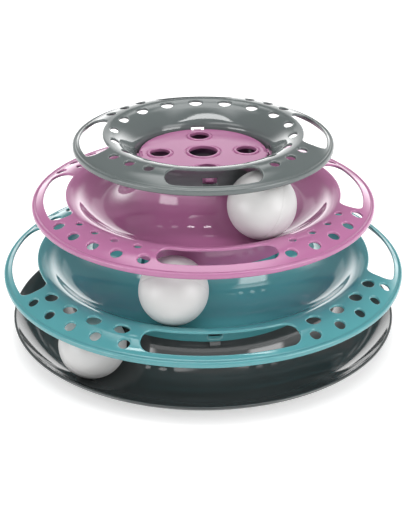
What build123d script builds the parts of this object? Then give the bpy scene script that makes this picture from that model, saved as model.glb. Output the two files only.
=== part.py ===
from build123d import *

import math
import os
from dataclasses import dataclass

# Three-level ball track tower for cats: base tray, two track tiers, top ring, three balls and rubber feet.
# Millimetres, +Z up, origin on the floor at the tower's axis. The front paw slots face -Y.

# Mouldings
WALL = 1.8
CUT_OVERRUN = 1.0
CORNER_ROUND = 0.9

# Balls
BALL_DIAMETER = 40.0
BALL_WALL = 1.4
BALL_RUNNING_GAP = 0.3
SEAM_SPIGOT_WALL = 0.8
SEAM_SPIGOT_DEPTH = 1.6
SEAM_CLEARANCE = 0.1

# Track section
TRACK_ROOM = 2.0
TRACK_OUTER_RADIUS = BALL_DIAMETER / 2 + TRACK_ROOM
COLLAR_WALL = 2.0
COLLAR_CLEARANCE = 0.3
COLLAR_TO_BALL = 0.5

# Hub, the same on every level, measured up from the track floor
HUB_BELOW_BALL_TOP = 7.6
SEAT_ABOVE_BALL_CENTRE = 5.0
HUB_HEIGHT = BALL_DIAMETER - HUB_BELOW_BALL_TOP
SEAT_HEIGHT = BALL_DIAMETER / 2 + SEAT_ABOVE_BALL_CENTRE

# Seat lugs, locking tabs and the windows they show in
LUG_WIDTH = 6.5
LUG_HEIGHT = 4.5
LUG_LEAN = 0.8
TAB_WIDTH = 5.0
TAB_HEIGHT = 2.4
TAB_REACH = 1.3
TAB_DROP = 0.6
TAB_CLEARANCE = 0.3
WINDOW_WIDTH = 8.4
WINDOW_HEIGHT = 4.4
WINDOW_RISE = 0.5
NOTCH_REACH = 2.0

# Holes in the hub disc
CENTRE_HOLE_DIAMETER = 17.4
SIDE_HOLE_DIAMETER = 12.1
SIDE_HOLE_INSET = 12.6
LIP_WIDTH = 1.8
LIP_HEIGHT = 1.1
LIP_ROUND_SHARE = 0.9

# Rolled bead round a rim
BEAD_WIDTH = 2.6
BEAD_HEIGHT = 3.6
BEAD_ROUND = 1.15

# Rubber feet
FOOT_DIAMETER = 14.0
FOOT_STAND = 1.4
FOOT_RECESS = 1.0
FOOT_CLEARANCE = 0.15
FOOT_ROUND = 0.4
FOOT_COUNT = 6

QUARTERS = 4


@dataclass(frozen=True)
class HoleRow:
    """Oval holes on a circle, `reach` outside the crest, `across` round the circle and `deep` to the axis."""

    reach: float
    across: float
    deep: float
    per_group: int
    pitch: float
    groups: int = QUARTERS


@dataclass(frozen=True)
class Rim:
    """A rim from its crest out to its bead, with paw slots and rows of holes."""

    crest_reach: float
    crest_rise: float
    bead_reach: float
    bead_drop: float
    slot_start: float
    slot_width: float
    slot_corner: float
    slot_half_angle: float
    rows: tuple


@dataclass(frozen=True)
class Level:
    """A ball track: radius, floor, turn of its hub's lugs and tabs, and its ball's angle and seam tilt."""

    track_radius: float
    floor: float
    lock_turn: float
    ball_angle: float
    seam_tilt: tuple

    @property
    def hub_arc(self):
        return BALL_DIAMETER / 2 + COLLAR_TO_BALL + COLLAR_WALL + COLLAR_CLEARANCE

    @property
    def hub_radius(self):
        return self.track_radius - self.hub_arc

    @property
    def hub_top(self):
        return self.floor + HUB_HEIGHT

    @property
    def seat(self):
        return self.floor + SEAT_HEIGHT

    @property
    def collar_inner(self):
        return self.hub_radius + COLLAR_CLEARANCE

    @property
    def collar_outer(self):
        return self.collar_inner + COLLAR_WALL

    @property
    def ball_height(self):
        return self.floor + BALL_RUNNING_GAP + BALL_DIAMETER / 2

    @property
    def ball_centre(self):
        turn = math.radians(self.ball_angle)
        across = self.track_radius * math.sin(turn)
        forward = self.track_radius * math.cos(turn)
        return Vector(across, -forward, self.ball_height)


def floor_over(below, track_radius, room):
    """The floor height at which a track's underside clears the ball of the level below by `room`."""
    apart = below.track_radius - track_radius
    reach = BALL_DIAMETER / 2 + room + WALL + TRACK_OUTER_RADIUS
    return below.ball_height + math.sqrt(reach**2 - apart**2) - TRACK_OUTER_RADIUS


# Levels: each track is a step wider than the one above, and each floor clears the ball below it
UPPER_TRACK_RADIUS = 61.8
LOWER_TRACK_STEP = 19.8
BASE_TRACK_STEP = 15.3
LOWER_TRACK_RADIUS = UPPER_TRACK_RADIUS + LOWER_TRACK_STEP
LOWER_BALL_ROOM = 1.1
MIDDLE_BALL_ROOM = 2.8
BASE = Level(
    track_radius=LOWER_TRACK_RADIUS + BASE_TRACK_STEP,
    floor=FOOT_STAND + WALL,
    lock_turn=0,
    ball_angle=-47.4,
    seam_tilt=(35, 20, 0),
)
LOWER = Level(
    track_radius=LOWER_TRACK_RADIUS,
    floor=floor_over(BASE, LOWER_TRACK_RADIUS, LOWER_BALL_ROOM),
    lock_turn=45,
    ball_angle=-17.1,
    seam_tilt=(-50, 15, 0),
)
UPPER = Level(
    track_radius=UPPER_TRACK_RADIUS,
    floor=floor_over(LOWER, UPPER_TRACK_RADIUS, MIDDLE_BALL_ROOM),
    lock_turn=0,
    ball_angle=27.6,
    seam_tilt=(20, -65, 0),
)
SIDE_HOLE_CIRCLE_RADIUS = UPPER.hub_radius - SIDE_HOLE_INSET

# Base tray rim
TRAY_RIM_REACH = 24.6
TRAY_RIM_RISE = 8.8

# Straight foot of the top ring's collar, below the bowl
COLLAR_FOOT_HEIGHT = 0.8

# Rims: a tier's crest rises from its track floor, the top ring's from the top of the ball under it
LOWER_RIM = Rim(
    crest_reach=21.9,
    crest_rise=7.1,
    bead_reach=21.5,
    bead_drop=8.9,
    slot_start=0.4,
    slot_width=15.9,
    slot_corner=5.0,
    slot_half_angle=22.5,
    rows=(
        HoleRow(reach=13.9, across=6.8, deep=5.6, per_group=5, pitch=9.0),
        HoleRow(reach=4.9, across=9.4, deep=7.0, per_group=4, pitch=10.1),
    ),
)
UPPER_RIM = Rim(
    crest_reach=22.2,
    crest_rise=8.1,
    bead_reach=21.2,
    bead_drop=6.5,
    slot_start=0.4,
    slot_width=13.5,
    slot_corner=4.6,
    slot_half_angle=21.0,
    rows=(
        HoleRow(reach=12.7, across=7.2, deep=6.4, per_group=5, pitch=10.0),
        HoleRow(reach=3.4, across=4.8, deep=3.8, per_group=4, pitch=10.1),
    ),
)
TOP_RIM = Rim(
    crest_reach=18.9,
    crest_rise=5.7,
    bead_reach=18.5,
    bead_drop=7.1,
    slot_start=0.3,
    slot_width=13.9,
    slot_corner=4.6,
    slot_half_angle=22.8,
    rows=(
        HoleRow(reach=4.6, across=6.0, deep=5.6, per_group=3, pitch=12.0),
        HoleRow(reach=-6.1, across=8.4, deep=4.8, per_group=1, pitch=0.0, groups=18),
    ),
)


def between(start, end, share):
    """The point that lies `share` of the way from start to end."""
    return (start[0] + (end[0] - start[0]) * share, start[1] + (end[1] - start[1]) * share)


def s_curve_rounds(crest, foot):
    """The radii of an S curve's two arcs, added together."""
    across = crest[0] - foot[0]
    drop = crest[1] - foot[1]
    return (across**2 + drop**2) / (2 * drop)


def s_curve(crest, foot, crest_round):
    """Two tangent arcs from a level crest in and down to a level foot, the first of radius crest_round."""
    turn = between(crest, foot, crest_round / s_curve_rounds(crest, foot))
    return [TangentArc(crest, turn, tangent=(-1, 0)), TangentArc(foot, turn, tangent=(1, 0))]


def rim_points(crest, rim):
    """Where a rim's arc ends inside its bead: the upper and the lower end, and the bead's centre."""
    bead_centre = (crest[0] + rim.bead_reach - BEAD_WIDTH / 2, crest[1] - rim.bead_drop)
    across = bead_centre[0] - crest[0]
    drop = crest[1] - bead_centre[1] - WALL / 2
    arc_radius = (across**2 + drop**2) / (2 * drop)
    arc_centre = (crest[0], crest[1] - arc_radius)
    upper = (bead_centre[0], crest[1] - drop)
    lower = between(arc_centre, upper, (arc_radius - WALL) / arc_radius)
    return upper, lower, bead_centre


def bead_face(bead_centre):
    """The rolled bead's section."""
    return Pos(*bead_centre) * RectangleRounded(BEAD_WIDTH, BEAD_HEIGHT, BEAD_ROUND)


def spun(face):
    """A section, drawn with its radius along X and its height along Y, turned about the tower's axis."""
    return revolve(Plane.XZ * face, Axis.Z)


def quarter_turns(count=QUARTERS):
    """Turns that share a full circle, in degrees from the front."""
    return [turn * 360 / count for turn in range(count)]


def at_front(angle, radius, height):
    """A place at `angle` from the front, at a radius and a height, with local -Y pointing outwards."""
    return Rot(0, 0, angle) * Pos(0, -radius, height)


def block(angle, width, inner, outer, low, high):
    """A box that lies across a radius, from the inner to the outer radius and from low to high."""
    middle = at_front(angle, (inner + outer) / 2, (low + high) / 2)
    return middle * Box(width, outer - inner, high - low)


def hub_outline(level):
    """The open outline of a hub from the track floor's top, over the disc, to the track floor's underside."""
    floor_top = (level.track_radius, level.floor)
    floor_under = (level.track_radius, level.floor - WALL)
    wall_foot = level.floor + level.hub_arc
    wall_outer = level.hub_radius
    wall_inner = level.hub_radius - WALL
    hole = CENTRE_HOLE_DIAMETER / 2
    shoulder = (wall_outer, level.hub_top - CORNER_ROUND)
    disc_edge = (wall_outer - CORNER_ROUND, level.hub_top)
    return [
        TangentArc(floor_top, (wall_outer, wall_foot), tangent=(-1, 0)),
        Line((wall_outer, wall_foot), shoulder),
        TangentArc(shoulder, disc_edge, tangent=(0, 1)),
        Line(disc_edge, (hole, level.hub_top)),
        Line((hole, level.hub_top), (hole, level.hub_top - WALL)),
        Line((hole, level.hub_top - WALL), (wall_inner, level.hub_top - WALL)),
        Line((wall_inner, level.hub_top - WALL), (wall_inner, wall_foot)),
        TangentArc(floor_under, (wall_inner, wall_foot), tangent=(-1, 0)),
    ]


def hub_fittings(level):
    """What stands on a hub: the lips round the disc's holes, the seat lugs and the locking tabs."""
    fittings = [Pos(0, 0, level.hub_top) * lip(CENTRE_HOLE_DIAMETER)]
    for angle in quarter_turns():
        fittings.append(at_front(angle, SIDE_HOLE_CIRCLE_RADIUS, level.hub_top) * lip(SIDE_HOLE_DIAMETER))
        fittings.append(Rot(0, 0, angle + level.lock_turn) * seat_lug(level))
        fittings.append(tab(level, angle + level.lock_turn))
    return fittings


def lip(hole):
    """A raised lip round a hole, rooted in the disc."""
    base = Pos(0, 0, -WALL / 2) * extrude(Circle(hole / 2 + LIP_WIDTH), amount=WALL / 2 + LIP_HEIGHT)
    return fillet(base.edges().sort_by(Axis.Z)[-1], LIP_HEIGHT * LIP_ROUND_SHARE)


def seat_lug(level):
    """A leaning lug on the hub's wall at the front, whose flat top carries the collar of the piece above."""
    root = level.hub_radius - WALL / 2
    outer = level.collar_outer + COLLAR_TO_BALL - BALL_RUNNING_GAP
    top = level.seat
    foot = top - LUG_HEIGHT
    outline = Polyline((root, top), (outer - LUG_LEAN, top), (outer, foot), (root, foot), close=True)
    side = Plane.XZ * make_face(outline)
    return Rot(0, 0, -90) * Pos(0, LUG_WIDTH / 2, 0) * extrude(side, amount=LUG_WIDTH)


def tab(level, angle):
    """A locking tab near the top of the hub's wall, which shows in the collar's window."""
    high = level.hub_top - TAB_DROP
    return block(
        angle, TAB_WIDTH, level.hub_radius - WALL / 2, level.hub_radius + TAB_REACH, high - TAB_HEIGHT, high
    )


def hub_cuts(level):
    """The disc's holes and the notch above each locking tab."""
    deep = WALL + CUT_OVERRUN
    tall = deep + LIP_HEIGHT + CUT_OVERRUN
    cuts = [Pos(0, 0, level.hub_top - deep) * extrude(Circle(CENTRE_HOLE_DIAMETER / 2), amount=tall)]
    for angle in quarter_turns():
        place = at_front(angle, SIDE_HOLE_CIRCLE_RADIUS, level.hub_top - deep)
        cuts.append(place * extrude(Circle(SIDE_HOLE_DIAMETER / 2), amount=tall))
        cuts.append(
            block(
                angle + level.lock_turn,
                WINDOW_WIDTH,
                level.hub_radius - NOTCH_REACH,
                level.hub_radius + CUT_OVERRUN,
                level.hub_top - TAB_DROP,
                level.hub_top + CUT_OVERRUN,
            )
        )
    return cuts


def collar_cuts(level):
    """A window for each of the hub's locking tabs, and the groove below it that the tab slides along."""
    window_low = level.hub_top + WINDOW_RISE - WINDOW_HEIGHT
    inner = level.collar_inner - COLLAR_CLEARANCE / 2
    groove_outer = level.hub_radius + TAB_REACH + TAB_CLEARANCE
    cuts = []
    for angle in quarter_turns():
        cuts.append(
            block(
                angle + level.lock_turn,
                WINDOW_WIDTH,
                inner,
                level.collar_outer + WALL + CUT_OVERRUN,
                window_low,
                window_low + WINDOW_HEIGHT,
            )
        )
        cuts.append(
            block(
                angle + level.lock_turn,
                TAB_WIDTH + 2 * TAB_CLEARANCE,
                inner,
                groove_outer,
                level.seat - CUT_OVERRUN,
                window_low + CUT_OVERRUN,
            )
        )
    return cuts


def paw_slots(crest, rim):
    """Upright cutters for the four rounded paw slots."""
    inner = crest[0] + rim.slot_start
    outer = inner + rim.slot_width
    start = -90 - rim.slot_half_angle
    inside = CenterArc((0, 0), inner, start, 2 * rim.slot_half_angle)
    outside = CenterArc((0, 0), outer, start, 2 * rim.slot_half_angle)
    outline = make_face([inside, outside, Line(inside @ 0, outside @ 0), Line(inside @ 1, outside @ 1)])
    slot = fillet(outline.vertices(), rim.slot_corner)
    low = crest[1] - rim.bead_drop - BEAD_HEIGHT
    tall = rim.bead_drop + BEAD_HEIGHT + CUT_OVERRUN
    cutter = Pos(0, 0, low) * extrude(slot, amount=tall)
    return [Rot(0, 0, angle) * cutter for angle in quarter_turns()]


def row_angles(row):
    """Every hole's angle: groups lie midway between the paw slots, single holes start at the front."""
    first = 360 / row.groups / 2 if row.per_group > 1 else 0
    middle = (row.per_group - 1) / 2
    return [
        first + turn + (place - middle) * row.pitch
        for turn in quarter_turns(row.groups)
        for place in range(row.per_group)
    ]


def row_cutters(crest, rim):
    """Upright oval cutters for the rim's rows of holes."""
    low = crest[1] - rim.bead_drop - BEAD_HEIGHT
    tall = rim.bead_drop + BEAD_HEIGHT + CUT_OVERRUN
    cutters = []
    for row in rim.rows:
        oval = extrude(Ellipse(row.across / 2, row.deep / 2), amount=tall)
        cutters += [at_front(angle, crest[0] + row.reach, low) * oval for angle in row_angles(row)]
    return cutters


def tier(level, rim, below):
    """A track tier: rim, track and hub in one moulding, with a collar that drops over the hub below."""
    crest = (level.track_radius + rim.crest_reach, level.floor + rim.crest_rise)
    floor = (level.track_radius, level.floor)
    crest_under = (crest[0], crest[1] - WALL)
    floor_under = (floor[0], floor[1] - WALL)
    rim_upper, rim_lower, bead_centre = rim_points(crest, rim)
    crest_round = s_curve_rounds(crest, floor) - TRACK_OUTER_RADIUS
    section = make_face(
        [
            TangentArc(crest, rim_upper, tangent=(1, 0)),
            *s_curve(crest, floor, crest_round),
            *hub_outline(level),
            *s_curve(crest_under, floor_under, crest_round - WALL),
            TangentArc(crest_under, rim_lower, tangent=(1, 0)),
            Line(rim_lower, rim_upper),
        ]
    )
    shell = spun(section + bead_face(bead_centre))
    piece = shell + [collar(level, below), *hub_fittings(level)]
    cuts = hub_cuts(level) + collar_cuts(below) + paw_slots(crest, rim) + row_cutters(crest, rim)
    return piece - cuts


def collar(level, below):
    """The sleeve under a tier's track that drops over the hub below and stands on its lugs."""
    middle = (below.collar_inner + below.collar_outer) / 2
    root_arc = level.hub_arc + WALL / 2
    root = level.floor + level.hub_arc - math.sqrt(root_arc**2 - (level.track_radius - middle) ** 2)
    tall = root - below.seat
    return spun(Pos(middle, below.seat + tall / 2) * Rectangle(COLLAR_WALL, tall))


def base_tray():
    """The tray: a dish with the lowest track and its hub, and a pocket below for each foot."""
    level = BASE
    floor = (level.track_radius, level.floor)
    floor_under = (floor[0], floor[1] - WALL)
    across = TRAY_RIM_REACH - WALL
    dish_arc = (across**2 + TRAY_RIM_RISE**2) / (2 * TRAY_RIM_RISE)
    dish_centre = (floor[0], floor[1] + dish_arc)
    rim_upper = (floor[0] + across, floor[1] + TRAY_RIM_RISE)
    rim_lower = between(dish_centre, rim_upper, (dish_arc + WALL) / dish_arc)
    rim_tip = between(rim_upper, rim_lower, 1 / 2)
    out = (rim_upper[0] - dish_centre[0], rim_upper[1] - dish_centre[1])
    along = (-out[1] / dish_arc, out[0] / dish_arc)
    tip = (rim_tip[0] + along[0] * WALL / 2, rim_tip[1] + along[1] * WALL / 2)
    section = make_face(
        [
            TangentArc(floor, rim_upper, tangent=(1, 0)),
            ThreePointArc(rim_upper, tip, rim_lower),
            TangentArc(floor_under, rim_lower, tangent=(1, 0)),
            *hub_outline(level),
        ]
    )
    pocket = extrude(Circle(FOOT_DIAMETER / 2 + FOOT_CLEARANCE), amount=FOOT_RECESS + FOOT_STAND)
    pockets = [at_front(angle, level.track_radius, 0) * pocket for angle in foot_angles()]
    return spun(section) + hub_fittings(level) - (hub_cuts(level) + pockets)


def foot_angles():
    """The feet lie evenly round the tray, the first one half a step from the front."""
    step = 360 / FOOT_COUNT
    return [step / 2 + turn for turn in quarter_turns(FOOT_COUNT)]


def rubber_feet():
    """Round pads, each seated in its pocket under the tray."""
    pad = extrude(Circle(FOOT_DIAMETER / 2), amount=FOOT_RECESS + FOOT_STAND)
    pad = fillet(pad.edges().sort_by(Axis.Z)[0], FOOT_ROUND)
    return Compound([at_front(angle, BASE.track_radius, 0) * pad for angle in foot_angles()])


def top_ring():
    """The top ring: a rim like the tiers', whose bowl curves down into a collar on the hub below."""
    below = UPPER
    ball_top = below.ball_height + BALL_DIAMETER / 2
    crest = (below.collar_outer + TOP_RIM.crest_reach, ball_top + TOP_RIM.crest_rise)
    crest_under = (crest[0], crest[1] - WALL)
    rim_upper, rim_lower, bead_centre = rim_points(crest, TOP_RIM)
    bowl_foot = below.seat + COLLAR_FOOT_HEIGHT
    inner_foot = (below.collar_inner, bowl_foot)
    outer_foot = (below.collar_outer, bowl_foot)
    inner_seat = (below.collar_inner, below.seat)
    outer_seat = (below.collar_outer, below.seat)
    section = make_face(
        [
            TangentArc(crest, rim_upper, tangent=(1, 0)),
            TangentArc(crest, inner_foot, tangent=(-1, 0)),
            Line(inner_foot, inner_seat),
            Line(inner_seat, outer_seat),
            Line(outer_seat, outer_foot),
            TangentArc(crest_under, outer_foot, tangent=(-1, 0)),
            TangentArc(crest_under, rim_lower, tangent=(1, 0)),
            Line(rim_lower, rim_upper),
        ]
    )
    shell = spun(section + bead_face(bead_centre))
    cuts = collar_cuts(below) + paw_slots(crest, TOP_RIM) + row_cutters(crest, TOP_RIM)
    return shell - cuts


def ball_halves(level):
    """A hollow ball in its track, as two half shells: the lower one's spigot fits inside the upper one."""
    outer = BALL_DIAMETER / 2
    inner = outer - BALL_WALL
    shell = make_face(
        [
            TangentArc((outer, 0), (0, outer), tangent=(0, 1)),
            Line((0, outer), (0, inner)),
            TangentArc((inner, 0), (0, inner), tangent=(0, 1)),
            Line((inner, 0), (outer, 0)),
        ]
    )
    spigot_outer = inner - SEAM_CLEARANCE
    spigot_inner = spigot_outer - SEAM_SPIGOT_WALL
    root_outer = inner + BALL_WALL / 2
    spigot = Pos((spigot_inner + spigot_outer) / 2, 0) * Rectangle(SEAM_SPIGOT_WALL, 2 * SEAM_SPIGOT_DEPTH)
    root_middle = ((spigot_inner + root_outer) / 2, -SEAM_SPIGOT_DEPTH / 2)
    root = Pos(*root_middle) * Rectangle(root_outer - spigot_inner, SEAM_SPIGOT_DEPTH)
    place = Pos(level.ball_centre) * Rot(*level.seam_tilt)
    upper_half = place * spun(shell)
    lower_half = place * spun(mirror(shell, Plane.XZ) + root + spigot)
    return upper_half, lower_half


def main():
    """Builds every piece and writes each to its own file."""
    os.makedirs("parts", exist_ok=True)
    nodes = {
        "base_tray": base_tray(),
        "lower_tier": tier(LOWER, LOWER_RIM, BASE),
        "upper_tier": tier(UPPER, UPPER_RIM, LOWER),
        "top_ring": top_ring(),
        "rubber_feet": rubber_feet(),
    }
    for name, level in {"lower": BASE, "middle": LOWER, "upper": UPPER}.items():
        upper_half, lower_half = ball_halves(level)
        nodes[f"{name}_ball_upper_half"] = upper_half
        nodes[f"{name}_ball_lower_half"] = lower_half
    for name, shape in nodes.items():
        export_step(shape, f"parts/{name}.step")


if __name__ == "__main__":
    main()
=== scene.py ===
"""Dressed model of a three-level ball track tower for cats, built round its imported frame.

Sizes are in millimetres, and angles in degrees from the front towards the right, unless a comment or a
docstring says otherwise.
"""

import logging
import math
from collections.abc import Callable, Sequence
from dataclasses import dataclass
from enum import Enum
from functools import cached_property
from typing import Protocol

import bmesh
import bpy
from mathutils import Euler, Matrix, Vector
from mathutils.geometry import delaunay_2d_cdt


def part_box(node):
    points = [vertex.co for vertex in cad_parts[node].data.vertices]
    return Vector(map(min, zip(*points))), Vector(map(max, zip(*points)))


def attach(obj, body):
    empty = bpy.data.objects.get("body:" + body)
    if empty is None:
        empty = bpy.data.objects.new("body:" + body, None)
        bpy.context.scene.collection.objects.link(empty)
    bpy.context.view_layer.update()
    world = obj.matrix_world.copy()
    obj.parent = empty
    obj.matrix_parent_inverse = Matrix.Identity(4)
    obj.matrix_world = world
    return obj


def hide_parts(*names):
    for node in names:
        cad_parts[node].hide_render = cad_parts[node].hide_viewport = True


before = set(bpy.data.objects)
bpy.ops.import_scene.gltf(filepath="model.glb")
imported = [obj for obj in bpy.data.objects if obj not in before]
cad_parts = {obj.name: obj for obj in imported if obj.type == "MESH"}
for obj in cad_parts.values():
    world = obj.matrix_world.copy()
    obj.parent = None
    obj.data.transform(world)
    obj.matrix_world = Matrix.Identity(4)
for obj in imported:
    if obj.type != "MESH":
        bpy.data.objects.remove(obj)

LOG = logging.getLogger("ball_track_tower")

Point2 = tuple[float, float]
Point3 = tuple[float, float, float]
Path = list[Point2]
Colour = tuple[float, float, float]

MM = 0.001
NO_NORMAL: Point3 = (0.0, 0.0, 0.0)
PURE_WHITE = (1.0, 1.0, 1.0, 1.0)
FULL_TURN = 360.0
HALF_TURN = FULL_TURN / 2
QUARTER_TURN = FULL_TURN / 4
QUARTERS = (0.0, QUARTER_TURN, HALF_TURN, HALF_TURN + QUARTER_TURN)

# Directions in a section, in degrees from the outward axis
OUT, UP, IN, DOWN = 0.0, QUARTER_TURN, HALF_TURN, -QUARTER_TURN

# Where a hub's lugs and tabs stand, as a turn from the paw slots
AT_SLOTS, BETWEEN_SLOTS = 0.0, QUARTER_TURN / 2

# The value that makes a bevel round
ROUND_PROFILE = 0.5


class Slot(Enum):
    """The record's material slots."""

    CHARCOAL = "charcoal_plastic"
    TEAL = "teal_plastic"
    PINK = "pink_plastic"
    GREY = "grey_plastic"
    WHITE = "white_plastic"
    RUBBER = "rubber"


@dataclass(frozen=True)
class Moulding:
    """Sizes that the moulded pieces share."""

    wall: float = 1.8
    ball_diameter: float = 40.0
    track_room: float = 2.0
    collar_wall: float = 2.0
    collar_clearance: float = 0.3
    collar_to_ball: float = 0.5
    collar_foot: float = 0.8
    running_gap: float = 0.3
    hub_below_ball_top: float = 7.6
    seat_above_ball_centre: float = 5.0
    shoulder_round: float = 0.9
    inner_round: float = 0.9
    edge_round: float = 0.75
    small_round: float = 0.35
    bead_width: float = 2.6
    bead_height: float = 3.6
    bead_round: float = 1.15
    bead_groove: float = 0.3
    bead_chord: float = 0.35

    @property
    def track_round(self) -> float:
        """Radius of a track's outer half."""
        return self.ball_diameter / 2 + self.track_room

    @property
    def hub_round(self) -> float:
        """Radius of a track's inner half, which runs up into the hub."""
        return self.ball_diameter / 2 + self.collar_to_ball + self.collar_wall + self.collar_clearance

    @property
    def hub_height(self) -> float:
        """Height of the hub disc above the track floor."""
        return self.ball_diameter - self.hub_below_ball_top

    @property
    def seat_height(self) -> float:
        """Height of the seat lugs' tops above the track floor."""
        return self.ball_diameter / 2 + self.seat_above_ball_centre


@dataclass(frozen=True)
class HubFittings:
    """Sizes of what stands on a hub or is cut into it."""

    lug_width: float = 6.5
    lug_height: float = 4.5
    lug_lean: float = 0.8
    tab_width: float = 5.0
    tab_height: float = 2.4
    tab_reach: float = 1.3
    tab_drop: float = 0.6
    tab_clearance: float = 0.3
    root: float = 0.9
    bevel: float = 0.3
    bevel_faces: int = 3
    window_width: float = 8.4
    window_height: float = 4.4
    window_rise: float = 0.5
    notch_reach: float = 2.0
    notch_round: float = 0.15
    centre_hole: float = 17.4
    side_hole: float = 12.1
    side_hole_inset: float = 12.6
    lip_width: float = 1.8
    packed_lip: float = 1.1
    lip_rise: float = 0.4
    lip_groove: float = 0.55
    lip_round: float = 0.8
    disc_margin: float = 1.4


MOULDING = Moulding()
FITTINGS = HubFittings()


@dataclass(frozen=True)
class HoleRow:
    """Oval holes on a circle outside the crest, in groups between the slots or singly all the way round."""

    reach: float
    across: float
    deep: float
    per_group: int
    pitch: float
    groups: int = len(QUARTERS)

    def angles(self) -> list[float]:
        """Works out where the holes lie.

        Returns:
            The angle of every hole.
        """
        first = FULL_TURN / self.groups / 2 if self.per_group > 1 else 0.0
        middle = (self.per_group - 1) / 2
        turns = [group * FULL_TURN / self.groups for group in range(self.groups)]
        steps = [(hole - middle) * self.pitch for hole in range(self.per_group)]
        return [first + turn + step for turn in turns for step in steps]


@dataclass(frozen=True)
class Rim:
    """A rim from its crest out to its bead, with paw slots and rows of holes."""

    crest_reach: float
    crest_rise: float
    bead_reach: float
    bead_drop: float
    slot_start: float
    slot_width: float
    slot_corner: float
    slot_half_angle: float
    rows: tuple[HoleRow, ...]


LOWER_RIM = Rim(
    crest_reach=21.9,
    crest_rise=7.1,
    bead_reach=21.5,
    bead_drop=8.9,
    slot_start=0.4,
    slot_width=15.9,
    slot_corner=7.0,
    slot_half_angle=23.0,
    rows=(
        HoleRow(reach=13.9, across=6.8, deep=5.6, per_group=5, pitch=9.0),
        HoleRow(reach=4.9, across=9.4, deep=7.0, per_group=4, pitch=10.1),
    ),
)
UPPER_RIM = Rim(
    crest_reach=22.2,
    crest_rise=8.1,
    bead_reach=21.2,
    bead_drop=6.5,
    slot_start=0.4,
    slot_width=13.5,
    slot_corner=6.0,
    slot_half_angle=21.4,
    rows=(
        HoleRow(reach=12.7, across=7.2, deep=6.4, per_group=5, pitch=10.0),
        HoleRow(reach=3.4, across=4.8, deep=3.8, per_group=4, pitch=10.1),
    ),
)
TOP_RIM = Rim(
    crest_reach=18.9,
    crest_rise=5.7,
    bead_reach=18.5,
    bead_drop=7.1,
    slot_start=0.3,
    slot_width=13.9,
    slot_corner=6.1,
    slot_half_angle=23.2,
    rows=(
        HoleRow(reach=4.6, across=6.0, deep=5.6, per_group=3, pitch=12.0),
        HoleRow(reach=-6.1, across=8.4, deep=4.8, per_group=1, pitch=0.0, groups=18),
    ),
)


def node_box(node: str) -> tuple[Vector, Vector]:
    """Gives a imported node's lowest and highest corners.

    Args:
        node: The node's name.

    Returns:
        The two corners in millimetres.
    """
    low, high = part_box(node)
    return low / MM, high / MM


def added(name: str, data: bpy.types.ID) -> bpy.types.Object:
    """Puts a new object into the scene.

    Args:
        name: The object's name.
        data: Its mesh, lamp or camera.

    Returns:
        The object.
    """
    thing = bpy.data.objects.new(name, data)
    bpy.context.scene.collection.objects.link(thing)
    return thing


@dataclass(frozen=True)
class Level:
    """One ball track with its hub, whose lugs and tabs are turned by an angle."""

    track_radius: float
    floor: float
    lock_turn: float

    @classmethod
    def of_node(cls, node: str, track_radius: float, lock_turn: float) -> "Level":
        """Reads a level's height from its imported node.

        Args:
            node: The node whose hub disc tops the level.
            track_radius: Radius of the circle that the ball's centre runs on.
            lock_turn: Angle of the hub's first lug and tab.

        Returns:
            The level.
        """
        disc = node_box(node)[1].z - FITTINGS.packed_lip
        return cls(track_radius, disc - MOULDING.hub_height, lock_turn)

    @property
    def hub_radius(self) -> float:
        """Outer radius of the hub's wall."""
        return self.track_radius - MOULDING.hub_round

    @property
    def hub_top(self) -> float:
        """Height of the hub disc's upper face."""
        return self.floor + MOULDING.hub_height

    @property
    def wall_foot(self) -> float:
        """Height where the hub's wall turns into the track."""
        return self.floor + MOULDING.hub_round

    @property
    def seat(self) -> float:
        """Height of the seat lugs' tops."""
        return self.floor + MOULDING.seat_height

    @property
    def collar_inner(self) -> float:
        """Inner radius of the collar that drops over this hub."""
        return self.hub_radius + MOULDING.collar_clearance

    @property
    def collar_outer(self) -> float:
        """Outer radius of the collar that drops over this hub."""
        return self.collar_inner + MOULDING.collar_wall

    @property
    def window_low(self) -> float:
        """Lower edge of the collar's windows."""
        return self.hub_top + FITTINGS.window_rise - FITTINGS.window_height


def place(radius: float, angle: float, height: float) -> Point3:
    """Gives a point of the tower from its radius, its angle from the front and its height."""
    turn = math.radians(angle)
    return radius * math.sin(turn), -radius * math.cos(turn), height


def outward(angle: float) -> Point2:
    """Gives the level direction that points away from the axis at an angle."""
    turn = math.radians(angle)
    return math.sin(turn), -math.cos(turn)


def arc(
    centre: Point2, radius: float, start: float, end: float, chord: float = 1.2, widest: float = 9.0
) -> Path:
    """Samples an arc of a section.

    Args:
        centre: The arc's centre, as radius and height.
        radius: The arc's own radius.
        start: First direction, in degrees from the outward axis.
        end: Last direction.
        chord: Longest step along the arc.
        widest: Widest turn in one step.

    Returns:
        The arc's points, both ends among them.
    """
    widest_step = min(widest, math.degrees(chord / radius))
    steps = max(2, math.ceil(abs(end - start) / widest_step))
    turns = [math.radians(start + (end - start) * step / steps) for step in range(steps + 1)]
    return [(centre[0] + radius * math.cos(turn), centre[1] + radius * math.sin(turn)) for turn in turns]


def shortened(path: Path, length: float) -> Path:
    """Cuts a length off the end of a path.

    Args:
        path: The points to cut.
        length: How much to take off, measured along the path.

    Returns:
        The path up to the cut, which is its new last point.
    """
    kept = list(path)
    while len(kept) > 1:
        last, before = Vector(kept[-1]), Vector(kept[-2])
        step = (last - before).length
        if step > length:
            cut = last.lerp(before, length / step)
            return [*kept[:-1], (cut.x, cut.y)]
        length -= step
        kept.pop()
    return kept


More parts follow.
